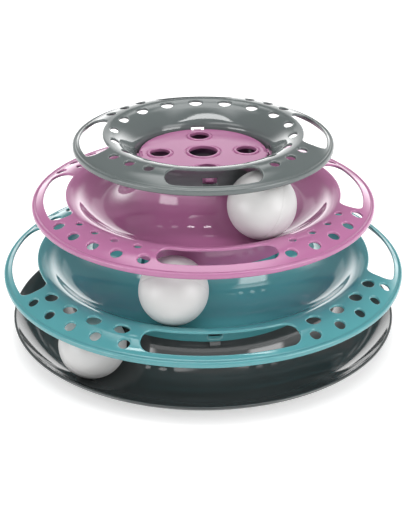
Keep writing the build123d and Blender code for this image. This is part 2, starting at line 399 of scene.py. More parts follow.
def chain(*links: tuple[Path, float], corner_steps: int = 5) -> Path:
    """Joins paths end to end and rounds the corners between them.

    Args:
        links: Each path with how far its last corner is cut back, zero where it runs on smoothly.
        corner_steps: Points that each rounded corner gets.

    Returns:
        One path.
    """
    whole = list(links[0][0])
    for (_, cut), (following, _) in zip(links, links[1:]):
        if cut == 0:
            whole += following[1:]
            continue
        corner = Vector(following[0])
        tail = shortened(whole, cut)
        head = shortened(following[::-1], cut)[::-1]
        start, end = Vector(tail[-1]), Vector(head[0])
        for step in range(1, corner_steps + 1):
            share = step / (corner_steps + 1)
            bent = start.lerp(corner, share).lerp(corner.lerp(end, share), share)
            tail.append((bent.x, bent.y))
        whole = tail + head
    return whole


class MeshDraft:
    """Points and faces of one piece, welded as they are added."""

    WELD = 1e-4

    def __init__(self) -> None:
        """Starts an empty draft."""
        self.points: list[Point3] = []
        self.normals: list[Point3] = []
        self.faces: list[tuple[int, ...]] = []
        self.smooth: list[bool] = []
        self._known: dict[tuple[int, ...], int] = {}

    def point(self, spot: Point3, normal: Point3 = NO_NORMAL) -> int:
        """Adds a point, or finds the one that is there already.

        Args:
            spot: Where the point lies.
            normal: The surface's direction there, where it is known.

        Returns:
            The point's number.
        """
        key = tuple(round(value / self.WELD) for value in spot)
        if key not in self._known:
            self._known[key] = len(self.points)
            self.points.append(spot)
            self.normals.append(normal)
        return self._known[key]

    def face(self, *corners: int, smooth: bool = True) -> None:
        """Adds a face, without corners that repeat.

        Args:
            corners: The numbers of its points, going round.
            smooth: Whether it is shaded smoothly.
        """
        ring = [corner for step, corner in enumerate(corners) if corner != corners[step - 1]]
        if len(set(ring)) > 2:
            self.faces.append(tuple(ring))
            self.smooth.append(smooth)

    def band(self, first: Sequence[int], second: Sequence[int], closed: bool = True) -> None:
        """Joins two rows of points with faces.

        Args:
            first: One row.
            second: The other row, as long as the first.
            closed: Whether the rows run round in a ring.
        """
        count = len(first)
        for step in range(count if closed else count - 1):
            after = (step + 1) % count
            self.face(first[step], first[after], second[after], second[step])

    def wrap(self, columns: Sequence[Sequence[int]]) -> None:
        """Joins columns of points all the way round.

        Args:
            columns: The columns in order, each as long as the others.
        """
        for step, column in enumerate(columns):
            self.band(column, columns[(step + 1) % len(columns)], closed=False)

    def absorb(self, mesh: bpy.types.Mesh) -> None:
        """Takes over a finished mesh as a part of this piece with flat faces.

        Args:
            mesh: The mesh, in metres.
        """
        start = len(self.points)
        self.points += [tuple(vertex.co / MM) for vertex in mesh.vertices]
        self.normals += [NO_NORMAL] * len(mesh.vertices)
        for polygon in mesh.polygons:
            self.faces.append(tuple(start + corner for corner in polygon.vertices))
            self.smooth.append(False)

    def to_object(self, name: str, material: bpy.types.Material) -> bpy.types.Object:
        """Makes the finished piece.

        Args:
            name: The piece's name.
            material: Its finish.

        Returns:
            The object, at the origin, with its place in its mesh.
        """
        mesh = bpy.data.meshes.new(name)
        mesh.from_pydata([Vector(spot) * MM for spot in self.points], [], self.faces)
        mesh.polygons.foreach_set("use_smooth", self.smooth)
        work = bmesh.new()
        work.from_mesh(mesh)
        bmesh.ops.recalc_face_normals(work, faces=work.faces)
        work.to_mesh(mesh)
        work.free()
        mesh.normals_split_custom_set_from_vertices(self.normals)
        mesh.materials.append(material)
        return added(name, mesh)


class Opening(Protocol):
    """A hole in a plate, seen from above, with the rounding of its edges."""

    top_edge: tuple[Point2, ...]
    under_edge: tuple[Point2, ...]

    def outline(self, outset: float) -> list[Point2]:
        """Gives the hole's outline, moved outwards by an outset."""


def quarter_edge(reach: float, steps: int = 3) -> tuple[Point2, ...]:
    """Rounds a hole's edge over.

    Args:
        reach: The rounding's radius.
        steps: Faces across the rounding.

    Returns:
        Outset and drop of each ring, from the plate's face to the hole's wall.
    """
    turns = [math.pi / 2 * step / steps for step in range(steps + 1)]
    return tuple((reach * (1 - math.sin(turn)), -reach * (1 - math.cos(turn))) for turn in turns)


def lip_edge(
    width: float, rise: float, groove: float, reach: float, steps: int = 5, dip_steps: int = 2
) -> tuple[Point2, ...]:
    """Raises a rounded lip round a hole, behind a fine groove.

    Args:
        width: The lip's width.
        rise: How far it stands above the plate.
        groove: The groove's depth below the plate.
        reach: Radius of the lip's outer rounding.
        steps: Faces across that rounding.
        dip_steps: Faces down into the groove.

    Returns:
        Outset and rise of each ring, from the plate's face over the lip to the hole's wall.
    """
    foot = (rise + groove - reach) * 2
    toe = foot / 4
    dip = [
        (width + foot * (dip_steps + 1 - step), -groove * step / dip_steps) for step in range(dip_steps + 1)
    ]
    turns = [math.pi / 2 * step / steps for step in range(steps + 1)]
    middle, low = width - reach, rise - reach
    outer = [(middle + reach * math.cos(turn), low + reach * math.sin(turn)) for turn in turns]
    inner = [(outset, rise + drop) for outset, drop in quarter_edge(foot)]
    return (*dip, (width + toe, toe - groove), *outer, *inner)


@dataclass(frozen=True)
class OvalHole:
    """An oval hole, wider round the tower than towards its axis where across is the larger."""

    angle: float
    radius: float
    across: float
    deep: float
    top_edge: tuple[Point2, ...]
    under_edge: tuple[Point2, ...]
    corners: int = 32

    def outline(self, outset: float) -> list[Point2]:
        """Samples the oval.

        Args:
            outset: How far it is moved outwards.

        Returns:
            Its points, going round.
        """
        away, along = outward(self.angle), outward(self.angle + QUARTER_TURN)
        points = []
        for corner in range(self.corners):
            turn = 2 * math.pi * corner / self.corners
            side = (self.across / 2 + outset) * math.cos(turn)
            out = self.radius + (self.deep / 2 + outset) * math.sin(turn)
            points.append((away[0] * out + along[0] * side, away[1] * out + along[1] * side))
        return points


@dataclass(frozen=True)
class PawSlot:
    """A curved slot with rounded corners that follows the rim."""

    angle: float
    inner: float
    outer: float
    corner: float
    half_angle: float
    top_edge: tuple[Point2, ...]
    under_edge: tuple[Point2, ...]
    long_steps: int = 26
    corner_steps: int = 8

    def _turned(self, centre: Point2, start: float, end: float, reach: float) -> list[Point2]:
        """Samples one rounded corner.

        Args:
            centre: Radius and angle of the corner's centre.
            start: First direction.
            end: Last direction.
            reach: The corner's radius.

        Returns:
            The corner's points.
        """
        middle = outward(self.angle + centre[1])
        points = []
        for step in range(self.corner_steps + 1):
            way = outward(self.angle + start + (end - start) * step / self.corner_steps)
            points.append((middle[0] * centre[0] + way[0] * reach, middle[1] * centre[0] + way[1] * reach))
        return points

    def _long(self, radius: float, start: float, end: float) -> list[Point2]:
        """Samples one long side between its corners.

        Args:
            radius: The side's radius from the axis.
            start: Angle that it starts at.
            end: Angle that it ends at.

        Returns:
            The side's points, without those of the corners.
        """
        steps = range(1, self.long_steps)
        ways = [outward(self.angle + start + (end - start) * step / self.long_steps) for step in steps]
        return [(way[0] * radius, way[1] * radius) for way in ways]

    def outline(self, outset: float) -> list[Point2]:
        """Samples the slot.

        Args:
            outset: How far it is moved outwards.

        Returns:
            Its points, going round.
        """
        inner, outer = self.inner + self.corner, self.outer - self.corner
        near = self.half_angle - math.degrees(math.asin(self.corner / inner))
        far = self.half_angle - math.degrees(math.asin(self.corner / outer))
        reach = self.corner + outset
        right, left = self.half_angle + QUARTER_TURN, HALF_TURN + QUARTER_TURN - self.half_angle
        return [
            *self._long(self.outer + outset, -far, far),
            *self._turned((outer, far), far, right, reach),
            *self._turned((inner, near), right, near + HALF_TURN, reach),
            *self._long(self.inner - outset, near, -near),
            *self._turned((inner, -near), HALF_TURN - near, left, reach),
            *self._turned((outer, -far), left, FULL_TURN - far, reach),
        ]


def inside(spot: Point2, ring: Sequence[Point2]) -> bool:
    """Tells whether a point lies inside a ring.

    Args:
        spot: The point.
        ring: The ring's corners.

    Returns:
        True where it does.
    """
    within = False
    for step, (x, y) in enumerate(ring):
        before = ring[step - 1]
        if (y > spot[1]) != (before[1] > spot[1]):
            crossing = x + (spot[1] - y) * (before[0] - x) / (before[1] - y)
            within ^= spot[0] < crossing
    return within


@dataclass(frozen=True)
class Spoke:
    """A line of points over a spun piece."""

    angle: float
    in_notch: bool = False
    in_groove: bool = False
    fine: bool = False


@dataclass
class SpokeFan:
    """All the spokes of one spun piece, with extra ones at the edges of its cuts."""

    notch_half: float = 0.0
    notch_turn: float = 0.0
    groove_half: float = 0.0
    window_half: float = 0.0
    window_turn: float = 0.0
    count: int = 240
    edge_step: float = 0.06
    start: float = -22.5
    crowding: float = 3.0

    def spokes(self) -> list[Spoke]:
        """Sets out the spokes, from a place where no cut lies.

        Returns:
            The spokes in order.
        """
        edges: list[Spoke] = []
        for quarter in QUARTERS:
            for side in (-1, 1):
                edges += self._edges(quarter, side)
        step = FULL_TURN / self.count
        room = step / self.crowding
        even = [self.start + step * (2 * number + 1) / 2 for number in range(self.count)]
        free = [angle for angle in even if all(abs(angle - edge.angle) > room for edge in edges)]
        fan = edges + [Spoke(angle, *self._cuts(angle)) for angle in free]
        return sorted(fan, key=lambda spoke: spoke.angle)

    @staticmethod
    def _off(angle: float, turn: float) -> float:
        """Tells how far an angle lies from the nearest quarter, where the quarters are turned."""
        return abs((angle - turn + QUARTER_TURN / 2) % QUARTER_TURN - QUARTER_TURN / 2)

    def _cuts(self, angle: float) -> tuple[bool, bool]:
        """Tells whether an angle lies in a notch and in a groove."""
        in_notch = self._off(angle, self.notch_turn) < self.notch_half
        return in_notch, self._off(angle, self.window_turn) < self.groove_half

    def _edges(self, quarter: float, side: int) -> list[Spoke]:
        """Sets out the spokes at the edges of the cuts.

        Args:
            quarter: Angle of the quarter that the cuts lie in.
            side: 1 for their right edges and -1 for their left ones.

        Returns:
            The spokes.
        """
        found = []
        for half, turn in ((self.notch_half, self.notch_turn), (self.groove_half, self.window_turn)):
            if half:
                for wide in (half - self.edge_step, half + self.edge_step):
                    angle = quarter + turn + side * wide
                    found.append(Spoke(angle, *self._cuts(angle), fine=True))
        if self.window_half:
            angle = quarter + self.window_turn + side * self.window_half
            found.append(Spoke(angle, *self._cuts(angle), fine=True))
        return found

    def in_window(self, angle: float) -> bool:
        """Tells whether an angle lies inside a window."""
        return self._off(angle, self.window_turn) < self.window_half


@dataclass
class Plate:
    """A ring-shaped stretch of wall with holes, as two heights over its plan."""

    inner: float
    outer: float
    top: Callable[[float], float]
    under: Callable[[float], float]
    openings: Sequence[Opening]
    row_step: float = 1.7
    clear: float = 0.75
    slope_step: float = 0.01
    merge_distance: float = 1e-4

    def _normal(self, spot: Point2, height: Callable[[float], float], facing: int) -> Point3:
        """Gives the direction that a face of the plate has at a point.

        Args:
            spot: The point in plan.
            height: The face's height over the radius.
            facing: 1 for the top face and -1 for the underside.

        Returns:
            The unit normal.
        """
        radius = math.hypot(*spot)
        rise = height(radius + self.slope_step) - height(radius - self.slope_step)
        slope = rise / (2 * self.slope_step)
        normal = Vector((-slope * spot[0] / radius, -slope * spot[1] / radius, 1.0)).normalized() * facing
        return tuple(normal)

    def _inner_points(self, spokes: Sequence[Spoke]) -> list[Point2]:
        """Sets out the points between the edges and clear of the openings.

        Args:
            spokes: The piece's spokes.

        Returns:
            The points in plan.
        """
        guards = []
        for opening in self.openings:
            ring = opening.outline(opening.top_edge[0][0] + self.clear)
            low = [min(axis) for axis in zip(*ring)]
            high = [max(axis) for axis in zip(*ring)]
            guards.append((low, high, ring))
        rows = max(2, round((self.outer - self.inner) / self.row_step))
        points = []
        for row in range(1, rows):
            radius = self.inner + (self.outer - self.inner) * row / rows
            for spoke in spokes:
                if spoke.fine:
                    continue
                x, y, _ = place(radius, spoke.angle, 0)
                near = [g for g in guards if g[0][0] < x < g[1][0] and g[0][1] < y < g[1][1]]
                if not any(inside((x, y), ring) for _, _, ring in near):
                    points.append((x, y))
        return points

    def _plan(self, spokes: Sequence[Spoke]) -> tuple[list[Point2], list[list[int]]]:
        """Sets out all the plate's points.

        Args:
            spokes: The piece's spokes.

        Returns:
            The points in plan, and the numbers of those on the inner edge, the outer edge and each opening.
        """
        loops = [[place(radius, s.angle, 0)[:2] for s in spokes] for radius in (self.inner, self.outer)]
        loops += [opening.outline(opening.top_edge[0][0]) for opening in self.openings]
        plan: list[Point2] = []
        rings: list[list[int]] = []
        for loop in loops:
            rings.append(list(range(len(plan), len(plan) + len(loop))))
            plan += loop
        return plan + self._inner_points(spokes), rings

    def _triangles(self, plan: list[Point2], rings: list[list[int]]) -> list[list[int]]:
        """Fills the plate between its edges.

        Args:
            plan: The points in plan.
            rings: The numbers of those on the inner edge, the outer edge and each opening.

        Returns:
            The numbers of each triangle's corners.
        """
        edges = [(ring[step - 1], ring[step]) for ring in rings for step in range(len(ring))]
        spots = [Vector(spot) for spot in plan]
        _, _, faces, origins, _, _ = delaunay_2d_cdt(spots, edges, [], 0, self.merge_distance, True)
        holes = [rings[0], *rings[2:]]
        owner = {index: number for number, ring in enumerate(holes) for index in ring}
        triangles = []
        for corners in faces:
            ids = [origins[corner][0] for corner in corners]
            owners = {owner.get(index) for index in ids}
            if len(owners) == 1 and None not in owners:
                middle = tuple(sum(axis) / len(ids) for axis in zip(*(plan[index] for index in ids)))
                if inside(middle, [plan[index] for index in holes[owners.pop()]]):
                    continue
            triangles.append(ids)
        return triangles

    def build(self, draft: MeshDraft, spokes: Sequence[Spoke]) -> None:
        """Adds both faces, the openings' edges and their walls.

        Args:
            draft: The piece that gets them.
            spokes: The piece's spokes, which the plate's edges follow.
        """
        plan, rings = self._plan(spokes)
        triangles = self._triangles(plan, rings)
        ends = zip((self.inner, self.outer), rings)
        edge_radius = {index: radius for radius, ring in ends for index in ring}
        sheets = []
        for height, facing in ((self.top, 1), (self.under, -1)):
            sheet = {}
            for index in {index for ids in triangles for index in ids}:
                spot = plan[index]
                level = height(edge_radius.get(index, math.hypot(*spot)))
                sheet[index] = draft.point((*spot, level), self._normal(spot, height, facing))
            for ids in triangles:
                draft.face(*(sheet[index] for index in ids))
            sheets.append(sheet)
        for opening, ring in zip(self.openings, rings[2:]):
            self._edge(draft, opening, *([sheet[index] for index in ring] for sheet in sheets))

    def _edge(self, draft: MeshDraft, opening: Opening, top: list[int], under: list[int]) -> None:
        """Adds one opening's rounded edges and its wall.

        Args:
            draft: The piece that gets them.
            opening: The opening.
            top: The opening's ring on the top face.
            under: The opening's ring on the underside.
        """
        ends = []
        for ring, edge, height, facing in (
            (top, opening.top_edge, self.top, 1),
            (under, opening.under_edge, self.under, -1),
        ):
            for outset, rise in edge[1:]:
                spots = opening.outline(outset)
                following = [draft.point((*s, height(math.hypot(*s)) + rise * facing)) for s in spots]
                draft.band(ring, following)
                ring = following
            ends.append(ring)
        draft.band(ends[0], ends[1])


@dataclass(frozen=True)
class SCurve:
    """Two tangent arcs from a level crest in and down to a level foot."""

    crest: Point2
    foot: Point2
    crest_round: float

    @property
    def foot_round(self) -> float:
        """Radius of the arc that ends at the foot."""
        across, drop = self.crest[0] - self.foot[0], self.crest[1] - self.foot[1]
        return (across**2 + drop**2) / (2 * drop) - self.crest_round

    @property
    def turn(self) -> float:
        """Slope where the two arcs meet."""
        across = self.crest[0] - self.foot[0]
        return math.degrees(math.asin(across / (self.crest_round + self.foot_round)))

    def path(self, depth: float, start: float) -> Path:
        """Gives the curve, or one that runs below it.

        Args:
            depth: How far below the curve the path lies.
            start: Radius that the path starts at, on the crest's arc.

        Returns:
            Points from the start in to the foot.
        """
        crest_centre = (self.crest[0], self.crest[1] - self.crest_round)
        foot_centre = (self.foot[0], self.foot[1] + self.foot_round)
        crest_radius = self.crest_round - depth
        first = UP + math.degrees(math.asin((self.crest[0] - start) / crest_radius))
        upper = arc(crest_centre, crest_radius, first, UP + self.turn)
        return upper + arc(foot_centre, self.foot_round + depth, self.turn + DOWN, DOWN)[1:]

    def height(self, radius: float, depth: float) -> float:
        """Gives the height of the crest's arc, or of one that runs below it, over a radius."""
        reach = self.crest_round - depth
        return self.crest[1] - self.crest_round + math.sqrt(reach**2 - (self.crest[0] - radius) ** 2)


@dataclass(frozen=True)
class Bowl:
    """The top ring's bowl: three arcs down from a level crest, a steep foot, and one arc under them."""

    crest: Point2
    inner_foot: Point2
    outer_foot: Point2
    rounds: tuple[float, ...] = (17.5, 84.0, 7.5)
    slopes: tuple[float, ...] = (37.0, 43.0, 78.0)

    def arcs(self) -> list[Path]:
        """Works out the upper face's arcs.

        Returns:
            The three arcs, from the crest down.
        """
        spot, slope, paths = self.crest, 0.0, []
        for reach, end in zip(self.rounds, self.slopes):
            turn = math.radians(UP + slope)
            centre = (spot[0] - reach * math.cos(turn), spot[1] - reach * math.sin(turn))
            paths.append(arc(centre, reach, UP + slope, UP + end))
            spot, slope = paths[-1][-1], end
        return paths

    def _under(self, depth: float) -> tuple[Point2, float]:
        """Works out the underside's arc.

        Args:
            depth: Its depth below the crest.

        Returns:
            The arc's centre and radius.
        """
        across, drop = self.crest[0] - self.outer_foot[0], self.crest[1] - depth - self.outer_foot[1]
        reach = (across**2 + drop**2) / (2 * drop)
        return (self.crest[0], self.crest[1] - depth - reach), reach

    def height(self, radius: float, depth: float) -> float:
        """Gives the height of the first upper arc, or of the underside.

        Args:
            radius: The radius that it is asked for.
            depth: The underside's depth below the crest, or zero for the upper arc.

        Returns:
            The height.
        """
        reach = self.rounds[0]
        centre = (self.crest[0], self.crest[1] - reach)
        if depth:
            centre, reach = self._under(depth)
        return centre[1] + math.sqrt(reach**2 - (centre[0] - radius) ** 2)

    def radius(self, height: float, depth: float) -> float:
        """Gives the radius of the steep foot, or of the underside.

        Args:
            height: The height that it is asked for.
            depth: The underside's depth below the crest, or zero for the foot.

        Returns:
            The radius.
        """
        if depth:
            centre, reach = self._under(depth)
            return centre[0] - math.sqrt(reach**2 - (height - centre[1]) ** 2)
        top = self.arcs()[-1][-1]
        share = (height - self.inner_foot[1]) / (top[1] - self.inner_foot[1])
        return self.inner_foot[0] + (top[0] - self.inner_foot[0]) * share

    def upper_path(self, heights: Sequence[float]) -> Path:
        """Gives the upper face from the first arc's end down, with points at heights on the steep foot."""
        _, middle, last = self.arcs()
        return middle + last[1:-1] + [(self.radius(height, 0), height) for height in heights]

    def under_path(self, depth: float, start: float, heights: Sequence[float]) -> Path:
        """Gives the underside from a radius near the crest in and down.

        Args:
            depth: Its depth below the crest.
            start: Radius that the path starts at.
            heights: Heights that it passes last, from the highest down.

        Returns:
            The points.
        """
        centre, reach = self._under(depth)
        first = UP + math.degrees(math.asin((self.crest[0] - start) / reach))
        last = IN - math.degrees(math.asin((heights[0] - centre[1]) / reach))
        foot = [(self.radius(height, depth), height) for height in heights[1:]]
        return arc(centre, reach, first, last) + foot


@dataclass(frozen=True)
class RimBand:
    """A rim's outer slope with its holes and slots, and the bead that it ends in."""

    rim: Rim
    curve: SCurve | Bowl
    inner: float

    @property
    def crest(self) -> Point2:
        """The crest's radius and height."""
        return self.curve.crest

    @property
    def bead_centre(self) -> Point2:
        """Middle of the bead's section."""
        radius = self.crest[0] + self.rim.bead_reach - MOULDING.bead_width / 2
        return radius, self.crest[1] - self.rim.bead_drop

    @property
    def slope_round(self) -> float:
        """Radius of the rim's outer slope."""
        across = self.bead_centre[0] - self.crest[0]
        drop = self.rim.bead_drop - MOULDING.wall / 2
        return (across**2 + drop**2) / (2 * drop)

    @property
    def outer(self) -> float:
        """Radius where the bead's own section begins."""
        return self.bead_centre[0] - MOULDING.bead_width / 2 - MOULDING.bead_groove

    def height(self, radius: float, depth: float) -> float:
        """Gives the height of the rim's upper face, or of one that runs below it.

        Args:
            radius: The radius that it is asked for.
            depth: How far the face runs below the upper one.

        Returns:
            The height.
        """
        if radius < self.crest[0]:
            return self.curve.height(radius, depth)
        reach = self.slope_round - depth
        return self.crest[1] - self.slope_round + math.sqrt(reach**2 - (radius - self.crest[0]) ** 2)

    def top(self, radius: float) -> float:
        """Gives the height of the upper face."""
        return self.height(radius, 0)

    def under(self, radius: float) -> float:
        """Gives the height of the underside."""
        return self.height(radius, MOULDING.wall)

    def openings(self) -> list[Opening]:
        """Sets out the rim's openings.

        Returns:
            The paw slots and every hole of the rows.
        """
        edge = quarter_edge(MOULDING.edge_round)
        start = self.crest[0] + self.rim.slot_start
        end = start + self.rim.slot_width
        found: list[Opening] = [
            PawSlot(quarter, start, end, self.rim.slot_corner, self.rim.slot_half_angle, edge, edge)
            for quarter in QUARTERS
        ]
        for row in self.rim.rows:
            radius = self.crest[0] + row.reach
            found += [OvalHole(angle, radius, row.across, row.deep, edge, edge) for angle in row.angles()]
        return found

    def bead(self) -> Path:
        """Gives the bead's section.

        Returns:
            The path from the underside round the bead's outside to the upper face.
        """
        middle, low = self.bead_centre
        side = MOULDING.bead_width / 2 - MOULDING.bead_round
        rise = MOULDING.bead_height / 2 - MOULDING.bead_round
        corners = ((-side, -rise, IN), (side, -rise, IN + UP), (side, rise, OUT), (-side, rise, UP))
        ring: Path = []
        for across, up, start in corners:
            centre = (middle + across, low + up)
            ring += arc(centre, MOULDING.bead_round, start, start + QUARTER_TURN, chord=MOULDING.bead_chord)
        shown = [p for p in ring if p[0] > middle or not self.under(p[0]) < p[1] < self.top(p[0])]
        return [(self.outer, self.under(self.outer)), *shown, (self.outer, self.top(self.outer))]

    def build(self, draft: MeshDraft, spokes: Sequence[Spoke]) -> None:
        """Adds the rim to a piece.

        Args:
            draft: The piece.
            spokes: Its spokes.
        """
        plate = Plate(self.inner, self.outer, self.top, self.under, self.openings())
        plate.build(draft, spokes)
        bead = self.bead()
        spin(draft, spokes, lambda _: bead)


def spin(
    draft: MeshDraft,
    spokes: Sequence[Spoke],
    section: Callable[[Spoke], Path],
    left_out: Callable[[float, int], bool] | None = None,
) -> list[list[int]]:
    """Turns a section about the tower's axis.

    Args:
        draft: The piece that gets the faces.
        spokes: Where the section stands.
        section: The section's path at a spoke, always with as many points.
        left_out: Says which faces to leave out, from the angle and the number of the path's step.

    Returns:
        The numbers of the points, for each spoke in turn.
    """
    grid = []
    for spoke in spokes:
        grid.append([draft.point(place(radius, spoke.angle, height)) for radius, height in section(spoke)])
    for number, spoke in enumerate(spokes):
        after = (number + 1) % len(spokes)
        gap = (spokes[after].angle - spoke.angle) % FULL_TURN
        for step in range(len(grid[number]) - 1):
            if left_out and left_out(spoke.angle + gap / 2, step):
                continue
            draft.face(grid[number][step], grid[after][step], grid[after][step + 1], grid[number][step + 1])
    return grid


@dataclass(frozen=True)
class Hub:
    """The hub of one level: its wall, and its disc with the lipped holes."""

    level: Level
    side_hole_radius: float
    edge_points: int = 9
    shoulder_widest: float = 18.0
    hole_corners: int = 48

    @property
    def notch_half(self) -> float:
        """Half the angle that a notch takes."""
        return math.degrees(FITTINGS.window_width / 2 / self.level.hub_radius)

    @property
    def plate_outer(self) -> float:
        """Radius where the holed part of the disc ends."""
        return self.side_hole_radius + FITTINGS.side_hole / 2 + FITTINGS.lip_width + FITTINGS.disc_margin

    @property
    def plate_inner(self) -> float:
        """Radius where the holed part of the disc begins."""
        return self.side_hole_radius - FITTINGS.side_hole / 2 - FITTINGS.lip_width - FITTINGS.disc_margin

    def outer_path(self, in_notch: bool) -> Path:
        """Gives the hub from the track floor's middle up its wall to the holed part of the disc.

        Args:
            in_notch: Whether the path runs through a notch above a tab.

        Returns:
            The path, with as many points either way.
        """
        level, cut = self.level, MOULDING.shoulder_round
        centre = (level.track_radius, level.wall_foot)
        rise = arc(centre, MOULDING.hub_round, DOWN, -IN)
        radius, top = level.hub_radius, level.hub_top
        reach, depth, small = FITTINGS.notch_reach, FITTINGS.tab_drop, FITTINGS.notch_round
        if in_notch:
            step, wall = top - depth, radius - reach
            edge = [
                (radius, step - small),
                (radius - small, step),
                (radius - reach / 2, step),
                (wall + small, step),
                (wall, step + small),
                (wall, (step + top) / 2),
                (wall, top - small),
                (wall - small, top),
                (wall - 2 * small, top),
            ]
        else:
            shoulder = arc((radius - cut, top - cut), cut, OUT, UP, widest=self.shoulder_widest)
            spare = self.edge_points - len(shoulder)
            inner = radius - reach - 2 * small
            steps = [radius - cut + (inner - radius + cut) * (step + 1) / spare for step in range(spare)]
            edge = shoulder + [(across, top) for across in steps]
        low = top - cut - small
        return [*rise, (radius, (level.wall_foot + low) / 2), (radius, low), *edge, (self.plate_outer, top)]

    def inner_path(self) -> Path:
        """Gives the hub's inside.

        Returns:
            The path from the holed part of the disc down to the track's underside.
        """
        level = self.level
        wall, under = level.hub_radius - MOULDING.wall, level.hub_top - MOULDING.wall
        return chain(
            ([(self.plate_outer, under), (wall, under)], MOULDING.inner_round),
            ([(wall, under), (wall, level.wall_foot)], 0),
        )

    def build_disc(self, draft: MeshDraft, spokes: Sequence[Spoke]) -> None:
        """Adds the disc's holed part and its lipped centre hole.

        Args:
            draft: The piece.
            spokes: Its spokes.
        """
        top, under = self.level.hub_top, self.level.hub_top - MOULDING.wall
        lip = lip_edge(FITTINGS.lip_width, FITTINGS.lip_rise, FITTINGS.lip_groove, FITTINGS.lip_round)
        below = quarter_edge(MOULDING.small_round)
        size = (FITTINGS.side_hole, FITTINGS.side_hole)
        holes = [
            OvalHole(quarter, self.side_hole_radius, *size, lip, below, self.hole_corners)
            for quarter in QUARTERS
        ]
        Plate(self.plate_inner, self.plate_outer, lambda _: top, lambda _: under, holes).build(draft, spokes)
        hole = FITTINGS.centre_hole / 2
        over = [(hole + outset, top + rise) for outset, rise in lip]
        beneath = [(hole + outset, under - rise) for outset, rise in reversed(below)]
        flat_end = (over[0][0] + MOULDING.small_round, top)
        centre = [(self.plate_inner, top), flat_end, *over, *beneath, (self.plate_inner, under)]
        spin(draft, spokes, lambda _: centre)


@dataclass(frozen=True)
class Collar:
    """The sleeve that drops over the hub below, with windows and grooves for its locking tabs."""

    below: Level
    window_rows: int = 3

    @property
    def window_half(self) -> float:
        """Half the angle that a window takes."""
        return math.degrees(FITTINGS.window_width / 2 / self.below.collar_outer)

    @property
    def groove_half(self) -> float:
        """Half the angle that a tab's groove takes."""
        return math.degrees((FITTINGS.tab_width / 2 + FITTINGS.tab_clearance) / self.below.collar_inner)

    @property
    def groove(self) -> float:
        """Radius of the grooves' floor."""
        return self.below.hub_radius + FITTINGS.tab_reach + FITTINGS.tab_clearance

    def rows(self) -> list[float]:
        """Gives the heights of a window's rows of points, from its lower edge up."""
        step = FITTINGS.window_height / self.window_rows
        return [self.below.window_low + step * row for row in range(self.window_rows + 1)]

    def path(self, inner_root: float, outer_root: float, in_groove: bool) -> Path:
        """Gives the whole sleeve: down its inside, across its foot and up its outside.

        Args:
            inner_root: Height of the root inside.
            outer_root: Height of the root outside.
            in_groove: Whether the path runs down a groove.

        Returns:
            The path.
        """
        below, rows = self.below, self.rows()
        low_radius = self.groove if in_groove else below.collar_inner
        inner = [(below.collar_inner, height) for height in (inner_root, *reversed(rows[1:]))]
        inner += [(low_radius, rows[0]), (low_radius, below.seat)]
        outer = [(below.collar_outer, height) for height in (below.seat, *rows, outer_root)]
        cut = MOULDING.small_round / 2
        return chain((inner, cut), ([inner[-1], outer[0]], cut), (outer, 0), corner_steps=2)

    def windows(
        self,
        draft: MeshDraft,
        fan: SpokeFan,
        section: Callable[[Spoke], Path],
        inner_face: Path,
        outer_face: Path,
    ) -> None:
        """Spins a section that holds this collar and cuts its windows.

        Args:
            draft: The piece.
            fan: The piece's cuts.
            section: The section's path at a spoke.
            inner_face: A window's rows on the wall's inside, from its lower edge up.
            outer_face: The same on the outside.
        """
        plain, spokes = section(Spoke(0.0)), fan.spokes()
        inner = [self._step(plain, spot) for spot in inner_face]
        outer = [self._step(plain, spot) for spot in outer_face]
        open_steps = set(range(inner[-1], inner[0])) | set(range(outer[0], outer[-1]))
        grid = spin(draft, spokes, section, lambda angle, step: step in open_steps and fan.in_window(angle))
        reach = self.window_half + fan.edge_step / 2
        for quarter in QUARTERS:
            middle = quarter + self.below.lock_turn
            columns = [grid[n] for n, spoke in enumerate(spokes) if abs(spoke.angle - middle) < reach]
            for row in (0, -1):
                draft.band([c[inner[row]] for c in columns], [c[outer[row]] for c in columns], closed=False)
            for column in (columns[0], columns[-1]):
                draft.band([column[step] for step in inner], [column[step] for step in outer], closed=False)

    @staticmethod
    def _step(path: Path, spot: Point2) -> int:
        """Finds a point's number on a path."""
        return min(range(len(path)), key=lambda step: math.dist(path[step], spot))


